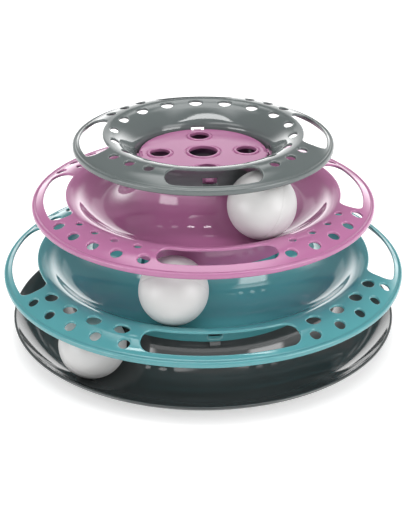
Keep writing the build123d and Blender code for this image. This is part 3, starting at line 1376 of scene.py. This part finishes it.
class RingOfPieces:
    """A node tree that sets copies of one piece round the tower's axis."""

    NAME = "Pieces round the tower"

    def __init__(self) -> None:
        """Builds the tree once."""
        self.tree = bpy.data.node_groups.new(self.NAME, "GeometryNodeTree")
        face = self.tree.interface
        self.piece = face.new_socket("Piece", in_out="INPUT", socket_type="NodeSocketObject").identifier
        self.count = face.new_socket("Count", in_out="INPUT", socket_type="NodeSocketInt").identifier
        self.first = face.new_socket("First angle", in_out="INPUT", socket_type="NodeSocketFloat").identifier
        self.finish = face.new_socket("Finish", in_out="INPUT", socket_type="NodeSocketMaterial").identifier
        face.new_socket("Geometry", in_out="OUTPUT", socket_type="NodeSocketGeometry")
        self._wire()

    def _wire(self) -> None:
        """Adds and joins the nodes."""
        nodes, links = self.tree.nodes, self.tree.links
        given, out = nodes.new("NodeGroupInput"), nodes.new("NodeGroupOutput")
        points, index = nodes.new("GeometryNodePoints"), nodes.new("GeometryNodeInputIndex")
        step, turn = nodes.new("ShaderNodeMath"), nodes.new("ShaderNodeMath")
        spin_by, source = nodes.new("ShaderNodeCombineXYZ"), nodes.new("GeometryNodeObjectInfo")
        copies, real = nodes.new("GeometryNodeInstanceOnPoints"), nodes.new("GeometryNodeRealizeInstances")
        dress = nodes.new("GeometryNodeSetMaterial")
        step.operation, step.inputs[0].default_value = "DIVIDE", 2 * math.pi
        turn.operation = "MULTIPLY_ADD"
        for start, end in (
            (given.outputs["Count"], points.inputs["Count"]),
            (given.outputs["Count"], step.inputs[1]),
            (index.outputs[0], turn.inputs[0]),
            (step.outputs[0], turn.inputs[1]),
            (given.outputs["First angle"], turn.inputs[2]),
            (turn.outputs[0], spin_by.inputs["Z"]),
            (given.outputs["Piece"], source.inputs["Object"]),
            (points.outputs[0], copies.inputs["Points"]),
            (source.outputs["Geometry"], copies.inputs["Instance"]),
            (spin_by.outputs[0], copies.inputs["Rotation"]),
            (copies.outputs[0], real.inputs[0]),
            (real.outputs[0], dress.inputs["Geometry"]),
            (given.outputs["Finish"], dress.inputs["Material"]),
            (dress.outputs[0], out.inputs["Geometry"]),
        ):
            links.new(start, end)

    def mesh(
        self, piece: bpy.types.Object, count: int, first: float, finish: bpy.types.Material
    ) -> bpy.types.Mesh:
        """Sets copies of a piece round the axis.

        Args:
            piece: The piece, modelled at the front; it is removed afterwards.
            count: How many copies share the full turn.
            first: The first copy's angle.
            finish: The copies' material.

        Returns:
            One plain mesh of all the copies.
        """
        holder = added(f"{piece.name}_ring", bpy.data.meshes.new(f"{piece.name}_ring"))
        modifier = holder.modifiers.new("Ring", "NODES")
        modifier.node_group = self.tree
        modifier[self.piece] = piece
        modifier[self.count] = count
        modifier[self.first] = math.radians(first)
        modifier[self.finish] = finish
        graph = bpy.context.evaluated_depsgraph_get()
        mesh = bpy.data.meshes.new_from_object(holder.evaluated_get(graph))
        holder.modifiers.remove(modifier)
        for spare in (holder, piece):
            bpy.data.objects.remove(spare)
        return mesh


def block(name: str, profile: Path, width: float, bevel: float) -> bpy.types.Object:
    """Makes a softened block across the front of the tower.

    Args:
        name: The block's name.
        profile: Its side view, as radius and height, going round.
        width: Its width across the front.
        bevel: How far its edges are softened.

    Returns:
        The block as an object, in metres.
    """
    work = bmesh.new()
    sides = []
    for across in (-width / 2, width / 2):
        sides.append([work.verts.new(Vector((across, -radius, height)) * MM) for radius, height in profile])
    count = len(profile)
    for step in range(count):
        after = (step + 1) % count
        work.faces.new((sides[0][step], sides[0][after], sides[1][after], sides[1][step]))
    for side in sides:
        work.faces.new(side)
    bmesh.ops.recalc_face_normals(work, faces=work.faces)
    bmesh.ops.bevel(
        work,
        geom=work.edges[:],
        offset=bevel * MM,
        segments=FITTINGS.bevel_faces,
        profile=ROUND_PROFILE,
        affect="EDGES",
        clamp_overlap=True,
    )
    mesh = bpy.data.meshes.new(name)
    work.to_mesh(mesh)
    work.free()
    return added(name, mesh)


def hub_blocks(draft: MeshDraft, level: Level, ring: RingOfPieces, finish: bpy.types.Material) -> None:
    """Adds the seat lugs and the locking tabs of one hub.

    Args:
        draft: The piece with the hub.
        level: The hub's level.
        ring: The tree that sets them round the axis.
        finish: The piece's material.
    """
    root = level.hub_radius - FITTINGS.root
    outer = level.collar_outer + MOULDING.collar_to_ball - MOULDING.running_gap
    top, foot = level.seat, level.seat - FITTINGS.lug_height
    lug = [(root, top), (outer - FITTINGS.lug_lean, top), (outer, foot), (root, foot)]
    high = level.hub_top - FITTINGS.tab_drop
    low, reach = high - FITTINGS.tab_height, level.hub_radius + FITTINGS.tab_reach
    tab = [(root, high), (reach, high), (reach, low), (root, low)]
    blocks = (("seat_lug", lug, FITTINGS.lug_width), ("locking_tab", tab, FITTINGS.tab_width))
    for name, profile, width in blocks:
        source = block(name, profile, width, FITTINGS.bevel)
        mesh = ring.mesh(source, len(QUARTERS), level.lock_turn, finish)
        draft.absorb(mesh)
        bpy.data.meshes.remove(mesh)


@dataclass(frozen=True)
class PlasticFinish:
    """Moulded plastic: a clear gloss over a colour that drifts a little, with the faint ripple of a mould."""

    name: str
    colour: Colour
    roughness: float
    drift: float = 0.04
    drift_size: float = 35.0
    drift_span: Point2 = (0.3, 0.7)
    ripple_size: float = 6.0
    ripple_depth: float = 0.004
    grain_size: float = 0.5
    grain_depth: float = 0.0006
    gloss_spread: float = 0.015
    specular: float = 0.74
    ior: float = 1.5
    noise_detail: float = 2.0

    def material(self) -> bpy.types.Material:
        """Builds the finish.

        Returns:
            The material.
        """
        material = bpy.data.materials.new(self.name)
        material.use_nodes = True
        tree = material.node_tree
        shader = tree.nodes["Principled BSDF"]
        shader.inputs["IOR"].default_value = self.ior
        shader.inputs["Specular IOR Level"].default_value = self.specular
        where = tree.nodes.new("ShaderNodeTexCoord").outputs["Object"]
        drift = self._noise(tree, where, self.drift_size)
        tint = tree.nodes.new("ShaderNodeValToRGB")
        shades = (1 - self.drift, 1 + self.drift)
        for end, position, shade in zip(tint.color_ramp.elements, self.drift_span, shades):
            end.position = position
            end.color = (*(value * shade for value in self.colour), 1)
        tree.links.new(drift, tint.inputs["Fac"])
        tree.links.new(tint.outputs["Color"], shader.inputs["Base Color"])
        grain = self._noise(tree, where, self.grain_size)
        gloss = tree.nodes.new("ShaderNodeMapRange")
        gloss.inputs["To Min"].default_value = self.roughness - self.gloss_spread
        gloss.inputs["To Max"].default_value = self.roughness + self.gloss_spread
        tree.links.new(grain, gloss.inputs["Value"])
        tree.links.new(gloss.outputs["Result"], shader.inputs["Roughness"])
        ripple = self._noise(tree, where, self.ripple_size)
        waves = self._bump(tree, ripple, self.ripple_depth)
        fine = self._bump(tree, grain, self.grain_depth)
        tree.links.new(waves.outputs["Normal"], fine.inputs["Normal"])
        tree.links.new(fine.outputs["Normal"], shader.inputs["Normal"])
        return material

    def _noise(
        self, tree: bpy.types.NodeTree, where: bpy.types.NodeSocket, size: float
    ) -> bpy.types.NodeSocket:
        """Adds a noise.

        Args:
            tree: The material's nodes.
            where: The place on the piece.
            size: The size of its patches.

        Returns:
            The noise's value.
        """
        noise = tree.nodes.new("ShaderNodeTexNoise")
        noise.inputs["Scale"].default_value = 1 / (size * MM)
        noise.inputs["Detail"].default_value = self.noise_detail
        tree.links.new(where, noise.inputs["Vector"])
        return noise.outputs["Fac"]

    @staticmethod
    def _bump(tree: bpy.types.NodeTree, height: bpy.types.NodeSocket, depth: float) -> bpy.types.Node:
        """Adds a bump.

        Args:
            tree: The material's nodes.
            height: The height that it follows, from 0 to 1.
            depth: How deep it goes.

        Returns:
            The bump's node.
        """
        bump = tree.nodes.new("ShaderNodeBump")
        bump.inputs["Distance"].default_value = depth * MM
        tree.links.new(height, bump.inputs["Height"])
        return bump


CHARCOAL = PlasticFinish("charcoal_gloss", (0.054, 0.062, 0.063), roughness=0.08)
TEAL = PlasticFinish("teal_gloss", (0.080, 0.305, 0.330), roughness=0.055)
PINK = PlasticFinish("pink_gloss", (0.440, 0.155, 0.315), roughness=0.055)
GREY = PlasticFinish("grey_gloss", (0.115, 0.135, 0.134), roughness=0.055)
WHITE = PlasticFinish("ball_satin", (0.60, 0.595, 0.59), roughness=0.38, drift=0.015, grain_depth=0.002)
RUBBER = PlasticFinish(
    "foot_rubber", (0.020, 0.020, 0.021), roughness=0.75, grain_depth=0.02, specular=0.3
)


def finished(piece: bpy.types.Object, body: str, slot: Slot, *nodes: str) -> None:
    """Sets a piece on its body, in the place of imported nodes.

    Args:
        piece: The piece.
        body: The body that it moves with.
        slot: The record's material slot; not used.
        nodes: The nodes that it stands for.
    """
    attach(piece, body)
    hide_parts(*nodes)
    LOG.info("%s rides on %s with %d faces", piece.name, body, len(piece.data.polygons))


@dataclass
class TrackTier:
    """A track tier: perforated rim, track and hub, with a collar that drops over the hub below."""

    node: str
    level: Level
    rim: Rim
    below: Level
    side_hole_radius: float
    finish: PlasticFinish
    slot: Slot
    band_margin: float = 0.6

    @cached_property
    def curve(self) -> SCurve:
        """The S curve from the rim's crest to the track's floor."""
        level = self.level
        crest = (level.track_radius + self.rim.crest_reach, level.floor + self.rim.crest_rise)
        rounds = (self.rim.crest_reach**2 + self.rim.crest_rise**2) / (2 * self.rim.crest_rise)
        return SCurve(crest, (level.track_radius, level.floor), rounds - MOULDING.track_round)

    def outer_path(self, spoke: Spoke, start: float) -> Path:
        """Gives the upper face from the crest over the track and the hub to the disc.

        Args:
            spoke: The spoke that it lies on.
            start: Radius that it starts at.

        Returns:
            The path.
        """
        return self.curve.path(0, start) + self.hub.outer_path(spoke.in_notch)[1:]

    def under_path(self, spoke: Spoke, end: float) -> Path:
        """Gives the underside from the disc down the hub, round the collar and out to the crest.

        Args:
            spoke: The spoke that it lies on.
            end: Radius that it ends at.

        Returns:
            The path.
        """
        level, below = self.level, self.below
        centre, reach = (level.track_radius, level.wall_foot), MOULDING.hub_round + MOULDING.wall
        inner_way = -math.degrees(math.acos((below.collar_inner - level.track_radius) / reach))
        outer_way = -math.degrees(math.acos((below.collar_outer - level.track_radius) / reach))
        first = arc(centre, reach, -IN, inner_way)
        last = arc(centre, reach, outer_way, DOWN)
        collar = self.collar.path(first[-1][1], last[0][1], spoke.in_groove)
        slope = self.curve.path(MOULDING.wall, end)[::-1]
        cut = MOULDING.inner_round
        return chain((self.hub.inner_path(), 0), (first, cut), (collar, cut), (last, 0), (slope, 0))

    @cached_property
    def hub(self) -> Hub:
        """The tier's own hub."""
        return Hub(self.level, self.side_hole_radius)

    @cached_property
    def collar(self) -> Collar:
        """The collar over the hub below."""
        return Collar(self.below)

    def build(self, ring: RingOfPieces) -> None:
        """Builds the tier and sets it on its body.

        Args:
            ring: The tree that sets the hub's lugs and tabs round the axis.
        """
        draft, material = MeshDraft(), self.finish.material()
        crest = self.curve.crest[0]
        lowest_row = min(row.reach - row.deep / 2 for row in self.rim.rows)
        band_start = crest + min(0.0, lowest_row - 2 * MOULDING.edge_round) - self.band_margin
        band = RimBand(self.rim, self.curve, band_start)
        fan = SpokeFan(
            self.hub.notch_half,
            self.level.lock_turn,
            self.collar.groove_half,
            self.collar.window_half,
            self.below.lock_turn,
        )
        spokes = fan.spokes()
        band.build(draft, spokes)
        upper = {flag: self.outer_path(Spoke(0.0, in_notch=flag), band.inner) for flag in (False, True)}
        under = {flag: self.under_path(Spoke(0.0, in_groove=flag), band.inner) for flag in (False, True)}
        spin(draft, spokes, lambda spoke: upper[spoke.in_notch])
        rows = self.collar.rows()
        faces = [[(radius, z) for z in rows] for radius in (self.below.collar_inner, self.below.collar_outer)]
        self.collar.windows(draft, fan, lambda spoke: under[spoke.in_groove], *faces)
        self.hub.build_disc(draft, spokes)
        hub_blocks(draft, self.level, ring, material)
        finished(draft.to_object(f"{self.node}_moulding", material), self.node, self.slot, self.node)


@dataclass
class BaseTray:
    """The dish that the tower stands in, with the lowest track and its hub."""

    level: Level
    side_hole_radius: float
    rim_reach: float = 24.6
    rim_rise: float = 8.8
    rim_chord: float = 0.25

    def dish(self) -> Path:
        """Gives the dish.

        Returns:
            The path from the track floor's underside, round the dish's rim, to the track floor.
        """
        level, wall = self.level, MOULDING.wall
        across = self.rim_reach - wall
        reach = (across**2 + self.rim_rise**2) / (2 * self.rim_rise)
        centre = (level.track_radius, level.floor + reach)
        turn = math.degrees(math.asin(across / reach))
        tip_way = math.radians(turn + DOWN)
        tip_reach = reach + wall / 2
        tip = (centre[0] + tip_reach * math.cos(tip_way), centre[1] + tip_reach * math.sin(tip_way))
        below = arc(centre, reach + wall, DOWN, turn + DOWN)
        rounded = arc(tip, wall / 2, turn + DOWN, turn + UP, chord=self.rim_chord)
        above = arc(centre, reach, turn + DOWN, DOWN)
        return below + rounded[1:] + above[1:]

    def build(self, ring: RingOfPieces) -> None:
        """Builds the tray and sets it on its body.

        Args:
            ring: The tree that sets the hub's lugs and tabs round the axis.
        """
        draft, material = MeshDraft(), CHARCOAL.material()
        hub = Hub(self.level, self.side_hole_radius)
        spokes = SpokeFan(hub.notch_half, self.level.lock_turn).spokes()
        centre, reach = (self.level.track_radius, self.level.wall_foot), MOULDING.hub_round + MOULDING.wall
        under = hub.inner_path() + arc(centre, reach, -IN, DOWN)[1:] + self.dish()[1:]
        sections = {flag: under + hub.outer_path(flag)[1:] for flag in (False, True)}
        spin(draft, spokes, lambda spoke: sections[spoke.in_notch])
        hub.build_disc(draft, spokes)
        hub_blocks(draft, self.level, ring, material)
        finished(draft.to_object("base_tray_moulding", material), "base", Slot.CHARCOAL, "base_tray")


@dataclass
class RubberFeet:
    """Round pads in the pockets under the tray."""

    level: Level
    diameter: float = 14.0
    rounding: float = 0.4
    count: int = 6
    corners: int = 36

    def build(self, ring: RingOfPieces) -> None:
        """Builds the pads and sets them on the base.

        Args:
            ring: The tree that sets them round the axis.
        """
        low, high = node_box("rubber_feet")
        radius, cut = self.diameter / 2, self.rounding
        edge = arc((radius - cut, low.z + cut), cut, DOWN, OUT)
        top = arc((radius - cut, high.z - cut), cut, OUT, UP)
        side = [(0.0, low.z), *edge, *top, (0.0, high.z)]
        draft = MeshDraft()
        angles = [FULL_TURN * corner / self.corners for corner in range(self.corners)]
        draft.wrap([[draft.point(place(r, angle, z)) for r, z in side] for angle in angles])
        material = RUBBER.material()
        pad = draft.to_object("foot_pad", material)
        pad.data.transform(Matrix.Translation((0, -self.level.track_radius * MM, 0)))
        mesh = ring.mesh(pad, self.count, FULL_TURN / self.count / 2, material)
        finished(added("rubber_foot_pads", mesh), "base", Slot.RUBBER, "rubber_feet")


@dataclass
class TopRing:
    """The top ring: a perforated rim whose bowl curves down into a collar on the hub below."""

    below: Level

    @cached_property
    def bowl(self) -> Bowl:
        """The bowl, whose crest clears the ball under it."""
        below = self.below
        ball_top = below.floor + MOULDING.running_gap + MOULDING.ball_diameter
        crest = (below.collar_outer + TOP_RIM.crest_reach, ball_top + TOP_RIM.crest_rise)
        foot = below.seat + MOULDING.collar_foot
        return Bowl(crest, (below.collar_inner, foot), (below.collar_outer, foot))

    @cached_property
    def collar(self) -> Collar:
        """The collar over the hub below."""
        return Collar(self.below)

    def section(self, in_groove: bool) -> Path:
        """Gives the bowl from the rim in and down to the collar's foot, and back out under it.

        Args:
            in_groove: Whether it runs down a groove.

        Returns:
            The path.
        """
        below, cut = self.below, MOULDING.small_round / 2
        heights = [*reversed(self.collar.rows()), self.bowl.inner_foot[1]]
        inner = self.bowl.upper_path(heights)
        outer = self.bowl.under_path(MOULDING.wall, inner[0][0], heights)[::-1]
        if in_groove:
            inner[-2:] = [(self.collar.groove, height) for height in heights[-2:]]
        seat = [(inner[-1][0], below.seat), (below.collar_outer, below.seat)]
        return chain(([*inner, seat[0]], cut), (seat, cut), ([seat[1], *outer], 0), corner_steps=2)

    def build(self) -> None:
        """Builds the ring and sets it on its body."""
        bowl, collar = self.bowl, self.collar
        sections = {flag: self.section(flag) for flag in (False, True)}
        band = RimBand(TOP_RIM, bowl, sections[False][0][0])
        fan = SpokeFan(
            groove_half=collar.groove_half, window_half=collar.window_half, window_turn=self.below.lock_turn
        )
        material, draft = GREY.material(), MeshDraft()
        band.build(draft, fan.spokes())
        faces = [[(bowl.radius(z, depth), z) for z in collar.rows()] for depth in (0, MOULDING.wall)]
        collar.windows(draft, fan, lambda spoke: sections[spoke.in_groove], *faces)
        finished(draft.to_object("top_ring_moulding", material), "top_ring", Slot.GREY, "top_ring")


@dataclass
class TrackBall:
    """A ball with a fine seam round it, in the place of its two packed halves."""

    name: str
    seam_tilt: Point3
    seam_depth: float = 0.12
    seam_half_width: float = 0.16
    spokes: int = 96
    rings: int = 48

    @property
    def halves(self) -> list[str]:
        """The two packed halves' names."""
        return [f"{self.name}_ball_{half}_half" for half in ("upper", "lower")]

    def centre(self) -> Vector:
        """Finds the ball's middle, from its two packed halves.

        Returns:
            The middle.
        """
        boxes = [node_box(half) for half in self.halves]
        low = [min(box[0][axis] for box in boxes) for axis in range(3)]
        high = [max(box[1][axis] for box in boxes) for axis in range(3)]
        return (Vector(low) + Vector(high)) / 2

    def build(self, material: bpy.types.Material) -> None:
        """Builds the ball and sets it on its body.

        Args:
            material: The balls' finish.
        """
        radius, draft = MOULDING.ball_diameter / 2, MeshDraft()
        seam_turn = math.degrees(self.seam_half_width / radius)
        step_turn = (QUARTER_TURN - seam_turn) / (self.rings / 2)
        half = [seam_turn + step_turn * step for step in range(self.rings // 2)] + [QUARTER_TURN]
        side = [(radius, -way) for way in reversed(half)]
        side += [(radius - self.seam_depth, 0.0)] + [(radius, way) for way in half]
        tilt = Euler([math.radians(angle) for angle in self.seam_tilt]).to_matrix().to_4x4()
        turned = Matrix.Translation(self.centre()) @ tilt
        columns = []
        for spoke in range(self.spokes):
            column = []
            for reach, way in side:
                across = reach * math.cos(math.radians(way)) if abs(way) < QUARTER_TURN else 0.0
                height = reach * math.sin(math.radians(way))
                spot = Vector(place(across, FULL_TURN * spoke / self.spokes, height))
                column.append(draft.point(tuple(turned @ spot)))
            columns.append(column)
        draft.wrap(columns)
        piece = draft.to_object(f"{self.name}_track_ball", material)
        finished(piece, f"{self.name}_ball", Slot.WHITE, *self.halves)


SEAM_TILTS: dict[str, Point3] = {"lower": (35, 20, 0), "middle": (-50, 15, 0), "upper": (20, -65, 0)}


def ramp(
    tree: bpy.types.NodeTree, value: bpy.types.NodeSocket, span: Point2, levels: Point2
) -> bpy.types.NodeSocket:
    """Runs smoothly from one level to another while a value crosses a span.

    Args:
        tree: The nodes.
        value: The value.
        span: Where it starts and ends.
        levels: The levels at both ends.

    Returns:
        The level.
    """
    node = tree.nodes.new("ShaderNodeMapRange")
    node.interpolation_type = "SMOOTHSTEP"
    node.inputs["From Min"].default_value, node.inputs["From Max"].default_value = span
    node.inputs["To Min"].default_value, node.inputs["To Max"].default_value = levels
    tree.links.new(value, node.inputs["Value"])
    return node.outputs["Result"]


def joined(
    tree: bpy.types.NodeTree, operation: str, *values: bpy.types.NodeSocket | float
) -> bpy.types.NodeSocket:
    """Joins values by one operation, from the first to the last.

    Args:
        tree: The nodes.
        operation: The operation's name.
        values: The values, as sockets or numbers.

    Returns:
        The result.
    """
    total = values[0]
    for value in values[1:]:
        node = tree.nodes.new("ShaderNodeMath")
        node.operation = operation
        for socket, part in zip(node.inputs, (total, value)):
            if isinstance(part, (int, float)):
                socket.default_value = part
            else:
                tree.links.new(part, socket)
        total = node.outputs[0]
    return total


@dataclass(frozen=True)
class Softbox:
    """A lamp that faces the tower and fades towards its edges; its reach and its sizes are in metres."""

    name: str
    angle: float
    rise: float
    reach: float
    width: float
    height: float
    glow: float
    soft: float = 0.6
    middle: float = 0.5

    def hang(self) -> None:
        """Hangs the lamp, whose middle is as many times as bright as white as its glow says."""
        data = bpy.data.lights.new(self.name, "AREA")
        data.shape = "RECTANGLE"
        data.size, data.size_y = self.width, self.height
        data.energy = self.glow * math.pi * self.width * self.height
        self._fade(data)
        lamp = added(self.name, data)
        away = Vector((*outward(self.angle), 0)) * math.cos(math.radians(self.rise))
        away.z = math.sin(math.radians(self.rise))
        lamp.location = away * self.reach
        lamp.rotation_euler = (-away).to_track_quat("-Z", "Y").to_euler()

    def _fade(self, data: bpy.types.Light) -> None:
        """Fades the lamp from its middle to its edges.

        Args:
            data: The lamp.
        """
        data.use_nodes = True
        tree = data.node_tree
        across = tree.nodes.new("ShaderNodeSeparateXYZ")
        tree.links.new(tree.nodes.new("ShaderNodeNewGeometry").outputs["Parametric"], across.inputs[0])
        sides = []
        for axis in ("X", "Y"):
            from_middle = joined(tree, "SUBTRACT", across.outputs[axis], self.middle)
            node = tree.nodes.new("ShaderNodeMath")
            node.operation = "ABSOLUTE"
            tree.links.new(from_middle, node.inputs[0])
            edge = (self.middle - self.soft / 2, self.middle)
            sides.append(ramp(tree, node.outputs[0], edge, (1, 0)))
        tree.links.new(joined(tree, "MULTIPLY", *sides), tree.nodes["Emission"].inputs["Strength"])


SOFTBOXES = (
    Softbox("right", angle=52, rise=14, reach=2.0, width=1.40, height=0.95, glow=5.0, soft=0.35),
    Softbox("right_upper", angle=52, rise=38, reach=2.0, width=1.70, height=1.10, glow=2.5),
    Softbox("left", angle=-65, rise=11, reach=2.0, width=1.40, height=0.90, glow=4.4, soft=0.35),
    Softbox("left_upper", angle=-50, rise=49, reach=2.0, width=2.40, height=0.70, glow=2.3),
    Softbox("top", angle=178, rise=77, reach=1.85, width=2.00, height=1.30, glow=2.8),
    Softbox("top_back", angle=171, rise=49, reach=2.0, width=0.90, height=1.10, glow=2.0),
    Softbox("back", angle=175, rise=22.5, reach=2.0, width=0.55, height=0.36, glow=0.6, soft=0.3),
    Softbox("top_strip", angle=-12, rise=80, reach=1.82, width=1.95, height=0.20, glow=8.0, soft=0.3),
)


@dataclass
class Studio:
    """The camera, the white floor, the lamps and the world; clip and floor_fade are in metres."""

    camera_place: Point3 = (-60.4, -657.2, 378.9)
    camera_pitch: float = 26.8
    lens: float = 81.98
    sensor: float = 36.0
    shift: float = -0.0014
    clip: Point2 = (0.01, 50.0)
    floor_half: float = 6000.0
    floor_colour: Colour = (0.86, 0.86, 0.86)
    floor_roughness: float = 0.9
    floor_glow: Point2 = (0.45, 0.8)
    floor_fade: Point2 = (0.5, 2.5)
    world_light: float = 0.27
    horizon_light: float = 0.55
    horizon_top: Point2 = (0.15, 0.38)
    backdrop_light: float = 2.15
    backdrop_angle: float = 164.0
    backdrop_edge: Point2 = (0.55, 0.95)
    backdrop_top: Point2 = (0.05, 0.45)

    def camera(self) -> None:
        """Sets the camera where the photograph was taken from."""
        data = bpy.data.cameras.new("photo_camera")
        data.sensor_width, data.lens, data.shift_x = self.sensor, self.lens, self.shift
        data.clip_start, data.clip_end = self.clip
        camera = added("photo_camera", data)
        spot = Vector(self.camera_place)
        flat = Vector((-spot.x, -spot.y, 0)).normalized()
        pitch = math.radians(self.camera_pitch)
        look = flat * math.cos(pitch) - Vector((0, 0, math.sin(pitch)))
        camera.location = spot * MM
        camera.rotation_euler = look.to_track_quat("-Z", "Y").to_euler()
        bpy.context.scene.camera = camera

    def floor(self) -> None:
        """Lays the floor, whose colour is lifted to white where no shadow falls."""
        half = self.floor_half * MM
        mesh = bpy.data.meshes.new("studio_floor")
        corners = [(-half, -half, 0), (half, -half, 0), (half, half, 0), (-half, half, 0)]
        mesh.from_pydata(corners, [], [range(len(corners))])
        floor = added("studio_floor", mesh)
        material = bpy.data.materials.new("floor_white")
        material.use_nodes = True
        tree = material.node_tree
        shader = tree.nodes["Principled BSDF"]
        shader.inputs["Base Color"].default_value = (*self.floor_colour, 1)
        shader.inputs["Roughness"].default_value = self.floor_roughness
        shader.inputs["Specular IOR Level"].default_value = 0.0
        shader.inputs["Emission Color"].default_value = PURE_WHITE
        away = tree.nodes.new("ShaderNodeVectorMath")
        away.operation = "LENGTH"
        tree.links.new(tree.nodes.new("ShaderNodeTexCoord").outputs["Object"], away.inputs[0])
        glow = ramp(tree, away.outputs["Value"], self.floor_fade, self.floor_glow)
        lift = joined(tree, "MULTIPLY", self._seen_directly(tree), glow)
        tree.links.new(lift, shader.inputs["Emission Strength"])
        floor.data.materials.append(material)

    @staticmethod
    def _seen_directly(tree: bpy.types.NodeTree) -> bpy.types.NodeSocket:
        """Tells what is seen directly, in a reflection or through glass from what only lights the tower.

        Args:
            tree: The material's nodes.

        Returns:
            1 for what is seen, and 0 for light.
        """
        path = tree.nodes.new("ShaderNodeLightPath").outputs
        names = ("Is Camera Ray", "Is Glossy Ray", "Is Transmission Ray")
        return joined(tree, "MAXIMUM", *(path[name] for name in names))

    def world(self) -> None:
        """Makes a white horizon that darkens upwards, with a lit backdrop behind the tower."""
        world = bpy.data.worlds.new("white_studio")
        bpy.context.scene.world = world
        world.use_nodes = True
        tree = world.node_tree
        way = tree.nodes.new("ShaderNodeTexCoord").outputs["Generated"]
        across = tree.nodes.new("ShaderNodeVectorMath")
        across.operation = "DOT_PRODUCT"
        across.inputs[1].default_value = (*outward(self.backdrop_angle), 0)
        tree.links.new(way, across.inputs[0])
        up = tree.nodes.new("ShaderNodeSeparateXYZ")
        tree.links.new(way, up.inputs[0])
        horizon = ramp(tree, up.outputs["Z"], self.horizon_top, (self.horizon_light, 0))
        facing = ramp(tree, across.outputs["Value"], self.backdrop_edge, (0, 1))
        behind = ramp(tree, up.outputs["Z"], self.backdrop_top, (self.backdrop_light, 0))
        total = joined(tree, "ADD", joined(tree, "MULTIPLY", facing, behind), horizon, self.world_light)
        background = tree.nodes["Background"]
        background.inputs["Color"].default_value = PURE_WHITE
        tree.links.new(total, background.inputs["Strength"])

    def build(self) -> None:
        """Sets up the whole studio."""
        self.camera()
        self.floor()
        self.world()
        for softbox in SOFTBOXES:
            softbox.hang()
        bpy.context.scene.view_settings.view_transform = "Standard"


def main() -> None:
    """Builds every piece in order, then the studio."""
    logging.basicConfig(level=logging.INFO, format="%(name)s: %(message)s")
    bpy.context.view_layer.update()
    lower_radius = node_box("lower_tier")[1].x - LOWER_RIM.bead_reach - LOWER_RIM.crest_reach
    upper_radius = node_box("upper_tier")[1].x - UPPER_RIM.bead_reach - UPPER_RIM.crest_reach
    feet_radius = node_box("rubber_feet")[1].x - RubberFeet.diameter / 2
    base = Level.of_node("base_tray", feet_radius, AT_SLOTS)
    lower = Level.of_node("lower_tier", lower_radius, BETWEEN_SLOTS)
    upper = Level.of_node("upper_tier", upper_radius, AT_SLOTS)
    side_hole_radius = upper.hub_radius - FITTINGS.side_hole_inset
    ring = RingOfPieces()
    BaseTray(base, side_hole_radius).build(ring)
    RubberFeet(base).build(ring)
    TrackTier("lower_tier", lower, LOWER_RIM, base, side_hole_radius, TEAL, Slot.TEAL).build(ring)
    TrackTier("upper_tier", upper, UPPER_RIM, lower, side_hole_radius, PINK, Slot.PINK).build(ring)
    TopRing(upper).build()
    satin = WHITE.material()
    for name, tilt in SEAM_TILTS.items():
        TrackBall(name, tilt).build(satin)
    Studio().build()


if __name__ == "__main__":
    main()
